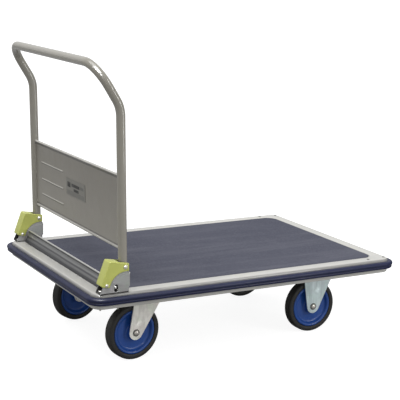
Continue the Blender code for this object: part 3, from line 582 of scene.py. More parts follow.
def plate(outline, low, high, bevel, holes=(), steps=2):
    """A flat plate between two y values, cut from an outline of (x, z) with holes, every edge rounded."""
    curve = bpy.data.curves.new("plate", "CURVE")
    curve.dimensions = "2D"
    curve.fill_mode = "BOTH"
    for loop in [outline, *holes]:
        spline = curve.splines.new("POLY")
        spline.points.add(len(loop) - 1)
        for point, (x, z) in zip(spline.points, loop):
            point.co = (x, z, 0, 1)
        spline.use_cyclic_u = True
    curve.bevel_depth = bevel
    curve.bevel_resolution = steps
    curve.extrude = (high - low) / 2 - bevel
    curve.offset = -bevel
    obj = placed("plate", curve)
    mesh = evaluated(obj)
    bpy.data.objects.remove(obj)
    bpy.data.curves.remove(curve)
    bm = bmesh.new()
    bm.from_mesh(mesh)
    bpy.data.meshes.remove(mesh)
    bmesh.ops.remove_doubles(bm, verts=bm.verts, dist=1e-6)
    middle = (low + high) / 2
    for vertex in bm.verts:
        x, z, y = vertex.co
        vertex.co = (x, middle + y, z)
    return bm


def carved(bm, *cutters):
    """A bmesh minus some others."""
    body = placed("body", solid(bm))
    tools = [placed("tool", solid(cutter)) for cutter in cutters]
    for tool in tools:
        modifier = body.modifiers.new("cut", "BOOLEAN")
        modifier.operation = "DIFFERENCE"
        modifier.solver = "EXACT"
        modifier.object = tool
    mesh = evaluated(body)
    result = bmesh.new()
    result.from_mesh(mesh)
    for obj in [body, *tools]:
        old = obj.data
        bpy.data.objects.remove(obj)
        bpy.data.meshes.remove(old)
    bpy.data.meshes.remove(mesh)
    return result


def piece(name, bm, look, slot, body, *nodes, angle=38, bevel=0):
    """Puts a shape in the scene on a CAD body, in place of the named CAD nodes."""
    mesh = solid(bm, name)
    obj = placed(name, mesh)
    if bevel:
        soften(obj, bevel)
        mesh = evaluated(obj)
        obj.modifiers.clear()
        obj.data = mesh
    mesh.shade_smooth()
    mesh.set_sharp_from_angle(angle=radians(angle))
    mesh.materials.clear()
    mesh.materials.append(LOOKS[look])
    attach(obj, body)
    if nodes:
        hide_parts(*nodes)


def fastener(name, bm, *nodes, body="deck", look="bolt"):
    piece(name, bm, look, "zinc_fastener", body, *nodes)


def soften(obj, width):
    modifier = obj.modifiers.new("soft_edges", "BEVEL")
    modifier.width = width
    modifier.segments = 2
    modifier.limit_method = "ANGLE"
    modifier.angle_limit = radians(35)
    modifier.harden_normals = False


def dress(node, look, width=0):
    """Gives a CAD node that stays its material, and softened edges."""
    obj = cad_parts[node]
    obj.data.materials.clear()
    obj.data.materials.append(LOOKS[look])
    if width:
        soften(obj, width)


def tube_frames(path):
    tangents = []
    for i in range(len(path)):
        before = path[max(i - 1, 0)]
        after = path[min(i + 1, len(path) - 1)]
        tangents.append((after - before).normalized())
    across = tangents[0].orthogonal().normalized()
    frames = []
    for i, tangent in enumerate(tangents):
        if i:
            across = tangents[i - 1].rotation_difference(tangent) @ across
        across = (across - across.dot(tangent) * tangent).normalized()
        frames.append((across, tangent.cross(across)))
    return frames


def sweep(path, radius, sides):
    loops = []
    for point, (a, b) in zip(path, tube_frames(path)):
        angles = [2 * pi * i / sides for i in range(sides)]
        loops.append([point + radius * (cos(t) * a + sin(t) * b) for t in angles])
    return loops


def sheet_strip(lines, thickness):
    """A closed sheet: rows of points on one face, each thickened along the surface's own normal."""
    rows, columns = len(lines), len(lines[0])
    normals = []
    for i in range(rows):
        row = []
        for j in range(columns):
            du = lines[min(i + 1, rows - 1)][j] - lines[max(i - 1, 0)][j]
            dv = lines[i][min(j + 1, columns - 1)] - lines[i][max(j - 1, 0)]
            row.append(du.cross(dv).normalized())
        normals.append(row)
    bm = bmesh.new()
    front = [[bm.verts.new(p) for p in row] for row in lines]
    back = [[bm.verts.new(p + n * thickness) for p, n in zip(*pair)] for pair in zip(lines, normals)]
    for i in range(rows - 1):
        for j in range(columns - 1):
            bm.faces.new((front[i][j], front[i][j + 1], front[i + 1][j + 1], front[i + 1][j]))
            bm.faces.new((back[i][j], back[i + 1][j], back[i + 1][j + 1], back[i][j + 1]))
    for i in range(rows - 1):
        bm.faces.new((front[i][0], front[i + 1][0], back[i + 1][0], back[i][0]))
        bm.faces.new((front[i][-1], back[i][-1], back[i + 1][-1], front[i + 1][-1]))
    for j in range(columns - 1):
        bm.faces.new((front[0][j], back[0][j], back[0][j + 1], front[0][j + 1]))
        bm.faces.new((front[-1][j], front[-1][j + 1], back[-1][j + 1], back[-1][j]))
    return bm


def side_y(side, distance):
    return SIDES[side] * (HANDLE_SPACING / 2 + distance)


def span(side, low, high):
    return sorted((side_y(side, low), side_y(side, high)))


def uw(u, w):
    """A point of the hinge group, from its foot on the deck, in millimetres."""
    return (FOOT_X + u / 1000, DECK_HEIGHT + w / 1000)


def smooth_step(t):
    t = min(max(t, 0), 1)
    return t * t * (3 - 2 * t)


GUARD_SCREW = uw(-52.5, 23.6)


# ---------------------------------------------------------------- deck
def deck_loop(inset, z, radius=None):
    corner = DECK_CORNER - inset if radius is None else radius
    return rounded_rectangle(DECK_LENGTH / 2 - inset, DECK_WIDTH / 2 - inset, max(corner, 0.004), z)


def make_deck():
    top, bottom, bend = DECK_HEIGHT, DECK_BOTTOM, 0.0066
    under = [(RIM_WIDTH - SHEET, PAN_UNDERSIDE), (RIM_WIDTH - SHEET, top - SHEET - 0.0004)]
    skirt = arc((bend, top - bend), bend - SHEET, 90, 180, 6)
    skirt += [(SHEET, bottom + 0.0036), (SHEET + 0.0006, bottom + 0.0024), (SHEET + 0.0018, bottom + SHEET)]
    skirt += [(0.0075, bottom + SHEET), (0.008, bottom + 0.001), (0.0075, bottom), (0.0032, bottom)]
    skirt += [(0.0014, bottom + 0.0006), (0.0004, bottom + 0.0018), (0, bottom + 0.0034)]
    skirt += arc((bend, top - bend), bend, 180, 90, 8)
    recess = [(RIM_WIDTH - 0.0016, top), (RIM_WIDTH - 0.0006, top - 0.0003)]
    recess += [(RIM_WIDTH + 0.0001, top - 0.0011), (RIM_WIDTH + 0.0006, top - RECESS_DEPTH)]
    loops = [deck_loop(inset, z, RECESS_CORNER) for inset, z in under]
    loops += [deck_loop(inset, z) for inset, z in skirt]
    loops += [deck_loop(inset, z, RECESS_CORNER) for inset, z in recess]
    piece("deck_sheet", loft(loops), "deck", "deck_paint", "deck", "deck_pan", angle=50)
    dress("deck_mat", "mat")

    head = [(0.0042, -0.0004), (0.0042, 0.0003), (0.0034, 0.0009), (0.0014, 0.0013)]
    rivets = []
    for side in (-1, 1):
        rivets += [turned(head, (x, side * y, top), "z", 20) for x, y in ((0.386, 0.2885), (0.443, 0.2845))]
    fastener("rim_rivets", merged(*rivets), look="dull")


def make_bumper():
    low = BUMPER_TOP - BUMPER_HEIGHT
    profile = [(0.0003, low + 0.0016), (0.0012, low + 0.0004), (0.003, low)]
    profile += arc((0.0085, low + 0.005), 0.005, -90, 38, 10)
    profile += arc((0.0085, low + 0.013), 0.0065, -40, 90, 14)
    profile += [(0.004, low + 0.0193), (0.0012, low + 0.019), (-0.0002, low + 0.0182), (0.0003, low + 0.012)]
    loops = [deck_loop(-proud, z) for proud, z in profile]
    piece("bumper_extrusion", loft(loops, ring=True), "bumper", "bumper_rubber", "deck", "bumper", angle=60)


def make_under_frame():
    for name in ("cross_member_rear", "cross_member_front", "deck_stiffener_near", "deck_stiffener_far"):
        dress(name, "under", 0.0008)


# ---------------------------------------------------------------- hinge brackets
def rod_slot():
    """The upright slot that the rod's end moves in as the plate tilts."""
    reach = hypot(ROD_X - PEDAL_X, ROD_Z - PEDAL_Z)
    swung = atan2(ROD_Z - PEDAL_Z, ROD_X - PEDAL_X) - PEDAL_SWING
    middle = (ROD_X + PEDAL_X + reach * cos(swung)) / 2
    half = 0.0054
    high, low = (middle, ROD_Z + 0.0013), (middle, PEDAL_Z + reach * sin(swung) - 0.0004)
    return arc(high, half, 0, 180, 12) + arc(low, half, 180, 360, 12)


def make_brackets():
    pivot = ((PIVOT_X - FOOT_X) * 1000, (PIVOT_Z - DECK_HEIGHT) * 1000)
    rear = -68.5
    cheek = [(rear + 1.2, 0.3), (9.6, 0.3), (9.6, 12), (10.4, 15.5)]
    cheek += [(10.8, 45)] + arc((6.6, 45.5), 4.2, 0, 80, 4)
    cheek += arc(pivot, 9, -12, 118, 10)
    cheek += [(-50, 33.5), (-58, 25)] + [(rear + 0.6, 4.5)]
    cheek = [uw(u, w) for u, w in cheek]
    for side in SIDES:
        half = CHEEK_GAP / 2
        sheets = []
        for low, high in ((-half - CHEEK_SHEET, -half), (half, half + CHEEK_SHEET)):
            y0, y1 = span(side, low, high)
            pin_hole = arc((PIVOT_X, PIVOT_Z), PIVOT_PIN_RADIUS + GAP, 0, 345, 23)
            holes = [pin_hole, arc(GUARD_SCREW, SCREW_HOLE, 0, 337, 15), rod_slot()]
            if high < 0:
                holes.append(arc((PEDAL_X, PEDAL_Z), PEDAL_PIN_HOLE, 0, 337, 15))
            sheets.append(plate(cheek, y0, y1, 0.0005, holes))
        # The front web bends round into both cheeks.
        web = []
        outside, bend = half + CHEEK_SHEET, 0.0036
        path = [(-outside + 0.0001, 8.6)]
        for i in range(7):
            a = pi / 2 * i / 6
            path.append((-outside + bend - bend * cos(a), 9.7 + 3.6 * sin(a)))
        path += [(-y, u) for y, u in reversed(path)]
        for w in (15.2, 15.8, 20, 30, 40, 45, 47, 48.6, 49.6, 50):
            drop = 0 if w < 45 else (w - 45) ** 2 / 25 * 0.0028
            row = []
            for y, u in path:
                y = max(min(y, outside - drop), -outside + drop)
                x, z = uw(min(u, 13.3), w)
                row.append(Vector((x, side_y(side, 0) + y, z)))
            web.append(row)
        web = sheet_strip(web, WEB_SHEET)
        ends = uw(rear, 0)[0], uw(9.6, 0)[0]
        base = plate_level(*ends, *span(side, -outside, outside), DECK_HEIGHT + 0.0003, DECK_HEIGHT + 0.0033)
        bracket, node = merged(*sheets, web, base), f"hinge_bracket_{side}"
        piece(f"bracket_fold_{side}", bracket, "bracket", "bracket_steel", "deck", node, angle=40)


def soft_levels(z0, z1):
    """The (inset, height) of four loops that round a level plate's edges."""
    soft = 0.0006
    return ((soft, z0), (0, z0 + soft), (0, z1 - soft), (soft, z1))


def plate_level(x0, x1, y0, y1, z0, z1):
    loops = []
    for inset, z in soft_levels(z0, z1):
        loops.append([
            (x0 + inset, y0 + inset, z), (x1 - inset, y0 + inset, z),
            (x1 - inset, y1 - inset, z), (x0 + inset, y1 - inset, z),
        ])
    return loft(loops)


def guard_outline():
    points = arc((4.5, 71.5), 4, 0, 80, 6)
    points += arc((-41.5, 78.3), 5, 80, 161, 8)
    points += arc((-62, 23.5), 4, 161, 256, 8)
    points += [(-50, 17), (-45.6, 16.7)] + arc((-45.4, 18.2), 1.5, 270, 345, 4)
    points += arc((2, 8), 46.5, 167, 84, 22)
    points += arc((7, 56), 1.5, 265, 355, 4)
    return [uw(u, w) for u, w in points]


def make_guards():
    room = [(20, 92), (-20, 92), (-20, 77.45), (-42.3, 81.2), (-44, 79.3), (-63.7, 23.3), (-68, 11), (20, 11)]
    room = [uw(u, w) for u, w in room]
    inside = CHEEK_GAP / 2 + CHEEK_SHEET + GAP
    outside = inside + GUARD_WALL
    for side in SIDES:
        shell = plate(guard_outline(), *span(side, -outside, outside), 0.0023, (), 6)
        cutters = [extruded(room, *span(side, -inside, inside))]
        for (x, z), radius in (((PIVOT_X, PIVOT_Z), PIVOT_PIN_RADIUS + GAP), (GUARD_SCREW, SCREW_HOLE)):
            hole = [(radius, -CUT_DEPTH), (radius, CUT_DEPTH)]
            cutters.append(turned(hole, (x, side_y(side, 0), z), "y", 24))
        shell, node = carved(shell, *cutters), f"finger_guard_{side}"
        piece(f"guard_shell_{side}", shell, "guard", "guard_plastic", "deck", node, angle=42)


def domed_pin(side, x, z, shank, head, dome, recess):
    """A pin with a washer and a domed head at each end, and a shallow recess in each head."""
    seat = CHEEK_GAP / 2 + CHEEK_SHEET + 2 * GAP + GUARD_WALL
    half = [(shank, seat), (head, seat), (head, seat + 0.0007), (head * 0.86, seat + 0.0009)]
    for i in range(6):
        a = radians(15 * i)
        rise = (dome - 0.0009) * sin(a) / sin(radians(75))
        half.append((head * 0.8 * cos(a), seat + 0.0009 + rise))
    half += [(recess, seat + dome), (recess * 0.85, seat + dome - 0.001)]
    return turned(mirrored(half), (x, side_y(side, 0), z), "y", 32)


def make_bracket_fasteners():
    for side in SIDES:
        pin = domed_pin(side, PIVOT_X, PIVOT_Z, PIVOT_PIN_RADIUS, 0.0054, 0.0034, 0.0015)
        fastener(f"pivot_rivet_{side}", pin, f"pivot_pin_{side}")
        x, z = GUARD_SCREW
        screw = domed_pin(side, x, z, 0.0022, 0.0044, 0.0026, 0.0013)
        fastener(f"guard_rivet_{side}", screw, f"guard_screw_{side}")
        for place in ("rear", "front"):
            low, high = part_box(f"bracket_bolt_{side}_{place}")
            x, y = (low.x + high.x) / 2, (low.y + high.y) / 2
            head, nut = DECK_HEIGHT + 0.0036, DECK_HEIGHT - SHEET - GAP
            shank = [(0.0029, head + 0.0002)]
            for i in range(9):
                shank += [(0.0029, low.z + 0.012 - i * 0.0012), (0.0026, low.z + 0.0114 - i * 0.0012)]
            shank.append((0.002, low.z))
            parts = [turned(shank, (x, y, 0), "z", 20)]
            parts.append(hexagon((x, y, head), "z", 0.0059, 0.003, 1))
            parts.append(hexagon((x, y, nut - 0.001), "z", 0.0056, 0.0046, -1))
            parts.append(turned([(0.006, nut), (0.006, nut - 0.001)], (x, y, 0), "z", 24))
            fastener(f"bracket_screw_{side}_{place}", merged(*parts), f"bracket_bolt_{side}_{place}")


def hexagon(centre, axis, radius, height, sign):
    """A hexagonal head or nut with a chamfered crown, growing from its centre along an axis."""
    loops = []
    for share, rise in ((0.94, 0), (1, 0.06), (1, 0.82), (0.9, 1), (0.55, 1), (0.5, 0.92)):
        points = circle(centre, radius * share, axis, sign * height * rise, 6, 0.5)
        loop = []
        for i, point in enumerate(points):
            after = points[(i + 1) % 6]
            loop += [point.lerp(after, t) for t in (0.06, 0.5, 0.94)]
        loops.append(loop)
    return loft(loops)


# ---------------------------------------------------------------- handle
def handle_point(along, across=0):
    return (
        PIVOT_X - along * sin(HANDLE_LEAN) + across * cos(HANDLE_LEAN),
        PIVOT_Z + along * cos(HANDLE_LEAN) + across * sin(HANDLE_LEAN),
    )


def bent(start, ahead, aside, radius, angle, steps):
    """Points along a bend that leaves its start ahead and turns aside."""
    points = []
    for i in range(steps + 1):
        a = angle * i / steps
        points.append(start + ahead * radius * sin(a) + aside * radius * (1 - cos(a)))
    return points


def half_handle_path():
    """The tube's centre line from the far foot to just short of the middle of the grip bar."""
    up = Vector((-sin(HANDLE_LEAN), 0, cos(HANDLE_LEAN)))
    back = Vector((-cos(HANDLE_LEAN), 0, -sin(HANDLE_LEAN)))
    pivot = Vector((PIVOT_X, HANDLE_SPACING / 2, PIVOT_Z))
    path = [pivot + up * (-TUBE_STUB + (BEND_START + TUBE_STUB) * i / 14) for i in range(14)]
    path += bent(pivot + up * BEND_START, up, back, BEND_RADIUS, BEND_ANGLE, 14)
    slope = up * cos(BEND_ANGLE) + back * sin(BEND_ANGLE)
    straight = slope * (GRIP_REACH - GRIP_CORNER)
    origin = path[-1]
    path += [origin + straight * i / 4 for i in range(1, 4)]
    path += bent(origin + straight, slope, Vector((0, -1, 0)), GRIP_CORNER, pi / 2, 22)
    end = path[-1]
    path += [Vector((end.x, end.y * (1 - i / 8), end.z)) for i in range(1, 8)]
    return path


def weld_bead(side, along, length, across):
    """A short rippled bead of weld between the panel and an upright."""
    loops = []
    for i in range(13):
        t = i / 12
        swell = sin(pi * min(max(t, 0.04), 0.96)) ** 0.5 * (1 + 0.12 * sin(i * 2.6))
        x, z = handle_point(along + (t - 0.5) * length, across)
        centre = Vector((x, side_y(side, -TUBE_RADIUS + 0.0002), z))
        radius = 0.0019 * swell
        ring = []
        for k in range(10):
            q = 2 * pi * k / 10
            ring.append(centre + Vector((radius * cos(q), radius * 1.2 * sin(q), 0)))
        loops.append(ring)
    return loft(loops)


def make_handle():
    far = half_handle_path()
    near = [Vector((p.x, -p.y, p.z)) for p in reversed(far)]
    path = far + [Vector((far[-1].x, 0, far[-1].z))] + near
    outer = sweep(path, TUBE_RADIUS, 40)
    bore = sweep(path, TUBE_RADIUS - TUBE_WALL, 40)
    tube = loft(outer + bore[::-1], ring=True)
    pivots = {side: (PIVOT_X, side_y(side, 0), PIVOT_Z) for side in SIDES}
    hole = [(BUSH_HOLE, -CUT_DEPTH), (BUSH_HOLE, CUT_DEPTH)]
    tube = carved(tube, *[turned(hole, pivots[side], "y", 24) for side in SIDES])
    piece("handle_tube_bent", tube, "handle", "handle_paint", "handle", "handle_tube", angle=45)

    # The panel: a lip rolled forward along each long edge, and three short pressed beads.
    half = HANDLE_SPACING / 2 - TUBE_RADIUS - GAP
    roll = 0.0036
    section = rolled_lip(PANEL_TOP, -1, roll)
    low, high = PANEL_BOTTOM + 3 * roll, PANEL_TOP - 3 * roll
    marks = [high - (high - low) * i / 40 for i in range(41)]
    for bead in PANEL_BEADS:
        marks += [bead + sign * d * 0.001 for d in (0, 0.6, 1.2, 1.8, 2.4, 3.2) for sign in (-1, 1)]
    section += [(m, 0) for m in sorted({round(m, 5) for m in marks}, reverse=True)]
    section += rolled_lip(PANEL_BOTTOM, 1, roll)[::-1]
    columns = [-half + 2 * half * i / 60 for i in range(61)]
    columns += [start + 0.0006 * i for start in (0.0805, 0.2355) for i in range(8)]
    lines = []
    for y in sorted({round(y, 5) for y in columns}):
        ends = smooth_step((y - 0.08) / 0.005) * smooth_step((0.241 - y) / 0.005)
        row = []
        for along, across in section:
            rise = 0
            if low <= along <= high:
                for bead in PANEL_BEADS:
                    rise += 0.0015 * ends * smooth_step(1 - abs(along - bead) / 0.003)
            x, z = handle_point(along, across - PANEL_SHEET / 2 - rise)
            row.append(Vector((x, y, z)))
        lines.append(row)
    panel = sheet_strip(lines, -PANEL_SHEET)
    piece("panel_sheet", panel, "panel", "panel_paint", "handle", "handle_panel", angle=60)
    dress("label_plate", "label", 0.0002)

    welds = []
    middle = 0.5 * (PANEL_BOTTOM + PANEL_TOP)
    for side in SIDES:
        for along, length in ((PANEL_BOTTOM + 0.012, 0.01), (PANEL_TOP - 0.012, 0.01), (middle, 0.012)):
            welds += [weld_bead(side, along, length, face * (PANEL_SHEET / 2 + 0.0002)) for face in (-1, 1)]
    piece("panel_welds", merged(*welds), "panel", "panel_paint", "handle", angle=70)

    for side in SIDES:
        profile = [(0.0043, -1), (0.006, -1), (0.006, 1), (0.0043, 1)]
        length = CHEEK_GAP / 2 - GAP
        bush = turned([(r, h * length) for r, h in profile], pivots[side], "y", 32, ring=True)
        fastener(f"pivot_sleeve_{side}", bush, f"pivot_bush_{side}", body="handle")
        dress(f"foot_plug_{side}", "plug", 0.0004)


def rolled_lip(edge, sign, roll):
    """The rolled edge of the panel, from its hidden end round the edge to the face, as (along, across)."""
    points = arc((edge + sign * roll, 0.001), roll, 90 - 50 * sign, 90 + 205 * sign, 14)
    for reach, depth in ((1.85, 1), (2.15, 0.55), (2.45, 0.22), (2.75, 0.06)):
        points.append((edge + sign * roll * reach, -0.0016 * depth))
    return points


# ---------------------------------------------------------------- release plate
def make_release():
    section = arc((-33.4, 31.4), 2, -60, 180, 12)
    section += [(-35.2, 29.6), (-34.4, 27), (-36, 23), (-37.6, 19.4), (-38.8, 16.8)]
    section += [(-40.4, 13.6), (-43, 8.6), (-45.4, 4), (-46.6, 1.4)]
    section = [uw(u, w) for u, w in section]
    lines = []
    for i in range(41):
        y = -PEDAL_HALF + 2 * PEDAL_HALF * i / 40
        lines.append([Vector((x, y, z)) for x, z in section])
    parts = [sheet_strip(lines, PEDAL_SHEET)]
    tab = [(-36.4, 26), (-24, 21.5), (-21.7, 18), (-21.5, 12), (-30, 3.2), (-44, 3.6), (-38.6, 17.6)]
    tab = [uw(u, w) for u, w in tab]
    for s in SIDES.values():
        y0, y1 = sorted((s * PEDAL_HALF, s * (PEDAL_HALF - 0.0025)))
        rod_hole = arc((ROD_X, ROD_Z), ROD_RADIUS + GAP, 0, 345, 23)
        pin_hole = arc((PEDAL_X, PEDAL_Z), PEDAL_PIN_HOLE, 0, 337, 15)
        parts.append(plate(tab, y0, y1, 0.0004, (rod_hole, pin_hole)))
    piece("release_sheet", merged(*parts), "pedal", "bracket_steel", "release", "release_plate", angle=50)

    reach = HANDLE_SPACING / 2 + CHEEK_GAP / 2 + CHEEK_SHEET + 0.0012
    half = [(ROD_RADIUS, reach - 0.0006), (ROD_RADIUS - 0.0006, reach)]
    rod = turned(mirrored(half), (ROD_X, 0, ROD_Z), "y", 32)
    fastener("rod_bar", rod, "lock_rod", body="release", look="rod")
    for side, sign in SIDES.items():
        low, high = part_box(f"pedal_pin_{side}")
        inner, outer = (low.y, high.y) if sign > 0 else (high.y, low.y)
        pin = [(0.0015, inner), (0.002, inner + sign * 0.0005), (0.002, outer)]
        fastener(f"pedal_pivot_{side}", turned(pin, (PEDAL_X, 0, PEDAL_Z), "y", 24), f"pedal_pin_{side}")
        radius, wire, turns, steps = 0.0034, 0.0006, 4.25, 28
        start = sign * (PEDAL_HALF - 0.004)
        path = []
        for i in range(int(turns * steps) + 1):
            angle = 2 * pi * i / steps + pi / 2
            y = start - sign * 0.0017 * i / steps
            path.append(Vector((PEDAL_X + radius * cos(angle), y, PEDAL_Z + radius * sin(angle))))
        path.insert(0, path[0] + Vector((0.006, 0, 0.0002)))
        path.append(path[-1] + (path[-1] - path[-2]).normalized() * 0.005)
        coil = loft(sweep(path, wire, 10))
        piece(f"pedal_coil_{side}", coil, "spring", "spring_steel", "deck", f"pedal_spring_{side}", angle=60)


# ---------------------------------------------------------------- casters
def caster_y(side):
    return SIDES[side] * WHEEL_TRACK / 2


def swivel(side, point):
    middle = Vector((SWIVEL_X, caster_y(side), 0))
    return middle + Matrix.Rotation(SWIVEL_REST[side], 3, "Z") @ (Vector(point) - middle)


def swivelled(side, bm):
    for vertex in bm.verts:
        vertex.co = swivel(side, vertex.co)
    return bm


def leg_side(z, axle_x, boss, corner_x, corner_z, sign):
    """How far out one side of a fork leg lies at a height: round the boss, then straight up to its corner."""
    reach, rise = (corner_x - axle_x) * sign, corner_z - AXLE_Z
    angle = atan2(rise, reach) - acos(boss / hypot(reach, rise))
    touch_x, touch_z = boss * cos(angle), boss * sin(angle)
    level = z - AXLE_Z
    if level <= touch_z:
        out = sqrt(max(boss * boss - level * level, 0))
    else:
        out = touch_x + (reach - touch_x) * (level - touch_z) / (rise - touch_z)
    return axle_x + sign * max(out, boss * 0.06)


def fork_sheet(y, top, axle_x, rear, front, relief):
    """A fork pressed from one sheet: two legs, joined by a bend at the top, each tapering to a round boss."""
    bend, columns, boss = 0.0075, 24, 0.0195
    half = FORK_GAP / 2 + FORK_SHEET
    leg_top = top - bend

    def row(out, z, left, right, pressed):
        points = []
        for j in range(columns + 1):
            t = j / columns
            push = relief(t, z) if pressed else 0
            points.append(Vector((left + (right - left) * t, y - out - push, z)))
        return points

    levels = [AXLE_Z - boss * cos(pi * 0.5 * i / 12) for i in range(13)]
    levels += [AXLE_Z + (leg_top - AXLE_Z) * i / 20 for i in range(1, 21)]
    lines = []
    for z in levels:
        ends = [leg_side(z, axle_x, boss, x, leg_top, sign) for x, sign in ((rear, -1), (front, 1))]
        lines.append(row(half, z, *ends, True))
    for i in range(1, 7):
        a = pi / 2 * i / 6
        lines.append(row(half - bend * (1 - cos(a)), leg_top + bend * sin(a), rear, front, False))
    inner = half - bend
    crown = [row(inner - 2 * inner * i / 8, top, rear, front, False) for i in range(1, 8)]
    other = [[Vector((p.x, 2 * y - p.y, p.z)) for p in line] for line in reversed(lines)]
    return sheet_strip(lines + crown + other, FORK_SHEET)


def swivel_relief(t, z):
    """A shallow pressed panel that runs up the middle of a swivel leg."""
    side = smooth_step((t - 0.22) / 0.16) * smooth_step((0.72 - t) / 0.16)
    rise = smooth_step((z - AXLE_Z - 0.017) / 0.016) * smooth_step((0.16 - z) / 0.012)
    return -0.0024 * side * rise


def rigid_relief(t, z):
    """Vertical ribs on a rigid leg: a groove behind the rear edge and a wide channel in the middle."""
    rise = smooth_step((z - AXLE_Z - 0.016) / 0.022)
    groove = smooth_step((t - 0.03) / 0.07) * smooth_step((0.2 - t) / 0.07)
    channel = smooth_step((t - 0.4) / 0.07) * smooth_step((0.68 - t) / 0.07)
    return -0.002 * groove * rise - 0.0016 * channel * rise * smooth_step((z - 0.112) / 0.02)


def caster_plate(x, y, low, high):
    loops = []
    for inset, z in soft_levels(low, high):
        points = rounded_rectangle(PLATE_SIZE[0] / 2 - inset, PLATE_SIZE[1] / 2 - inset, 0.009, z, 6, 4)
        loops.append([p + Vector((x, y, 0)) for p in points])
    return loft(loops)


def plate_bolts(x, y, low):
    """The four bolts that hold a caster plate up, seen from below: washer, nut and thread end."""
    parts = []
    for sx in (-1, 1):
        for sy in (-1, 1):
            at = (x + sx * PLATE_BOLTS[0], y + sy * PLATE_BOLTS[1], low)
            parts.append(turned([(0.0078, 0), (0.0078, -0.0012), (0.007, -0.0014)], at, "z", 24))
            parts.append(hexagon((at[0], at[1], low - 0.0013), "z", 0.0068, 0.005, -1))
            parts.append(turned([(0.0036, 0), (0.0036, -0.0082), (0.0028, -0.009)], at, "z", 20))
    return merged(*parts)


def axle_set(x, y):
    """An axle: a domed rivet head on a washer outside, and a lock nut with its thread end inside."""
    seat = FORK_GAP / 2 + FORK_SHEET + GAP
    sign = 1 if y > 0 else -1
    shank, head = AXLE_RADIUS - 0.0002, 0.0074
    profile = [(0.004, -seat - 0.0088), (0.0052, -seat - 0.0078), (shank, -seat - 0.007)]
    profile += [(shank, seat - 0.0002), (head, seat + 0.001)]
    for i in range(7):
        a = radians(13 * i)
        profile.append((head * cos(a), seat + 0.0014 + 0.004 * sin(a)))
    profile.append((0.0013, seat + 0.0046))
    axle = turned([(r, sign * h) for r, h in profile], (x, y, AXLE_Z), "y", 40)
    return merged(axle, hexagon((x, y - (seat + 0.001) * sign, AXLE_Z), "y", 0.0078, 0.0056, -sign))


def axle_washers(x, y):
    """The dull washers under an axle's head and nut."""
    seat = FORK_GAP / 2 + FORK_SHEET + GAP
    rings = []
    for sign in (-1, 1):
        profile = [(0.006, 0), (0.0096, 0), (0.0098, 0.0003), (0.0096, 0.0009), (0.006, 0.001)]
        rings.append(turned([(r, sign * (seat + h)) for r, h in profile], (x, y, AXLE_Z), "y", 40, ring=True))
    return merged(*rings)


def put_wheel(end, side, axle_x, turn):
    """The bearing, rim and tyre of one wheel."""
    hub = 0.011
    bearing = [(AXLE_RADIUS + GAP, 0.0172), (0.0082, 0.0172), (0.0085, 0.0166)]
    bearing += [(0.0098, 0.0166), (0.0101, 0.0171), (hub, 0.0171)]
    rim = eased([
        (hub + GAP, 0.0158), (0.0125, 0.0165), (0.018, 0.0165), (0.019, 0.015), (0.0196, 0.0066),
        (0.023, 0.005), (0.0455, 0.0046), (0.0492, 0.006), (0.053, 0.0128), (0.0548, 0.0141),
        (0.0572, 0.0146), (0.059, 0.0141), (RIM_RADIUS, 0.0122),
    ], 0.0016, 3)
    tyre = [(RIM_RADIUS + GAP, 0.012), (0.062, 0.0139), (0.064, 0.0147), (0.068, 0.015), (0.07, 0.0147)]
    for i in range(9):
        a = radians(78 - 66 * i / 8)
        tyre.append((0.0695 + 0.0053 * cos(a), 0.0098 + 0.005 * sin(a)))
    tyre += [(WHEEL_RADIUS - 0.00005, 0.007), (WHEEL_RADIUS, 0.0035), (WHEEL_RADIUS, 0.0006)]
    for name, half, segments, look, slot, angle in (
        ("wheel_bearing", bearing, 48, "bolt", "zinc_fastener", 30),
        ("wheel_rim", rim, 96, "wheel", "wheel_blue", 40), ("tyre", tyre, 112, "tyre", "tyre_rubber", 50),
    ):
        profile = [(r, -h) for r, h in half] + half[::-1]
        shape = turn(turned(profile, (axle_x, caster_y(side), AXLE_Z), "y", segments, ring=True))
        node = f"{name}_{end}_{side}"
        piece(f"{name}_round_{end}_{side}", shape, look, slot, f"{end}_wheel_{side}", node, angle=angle)


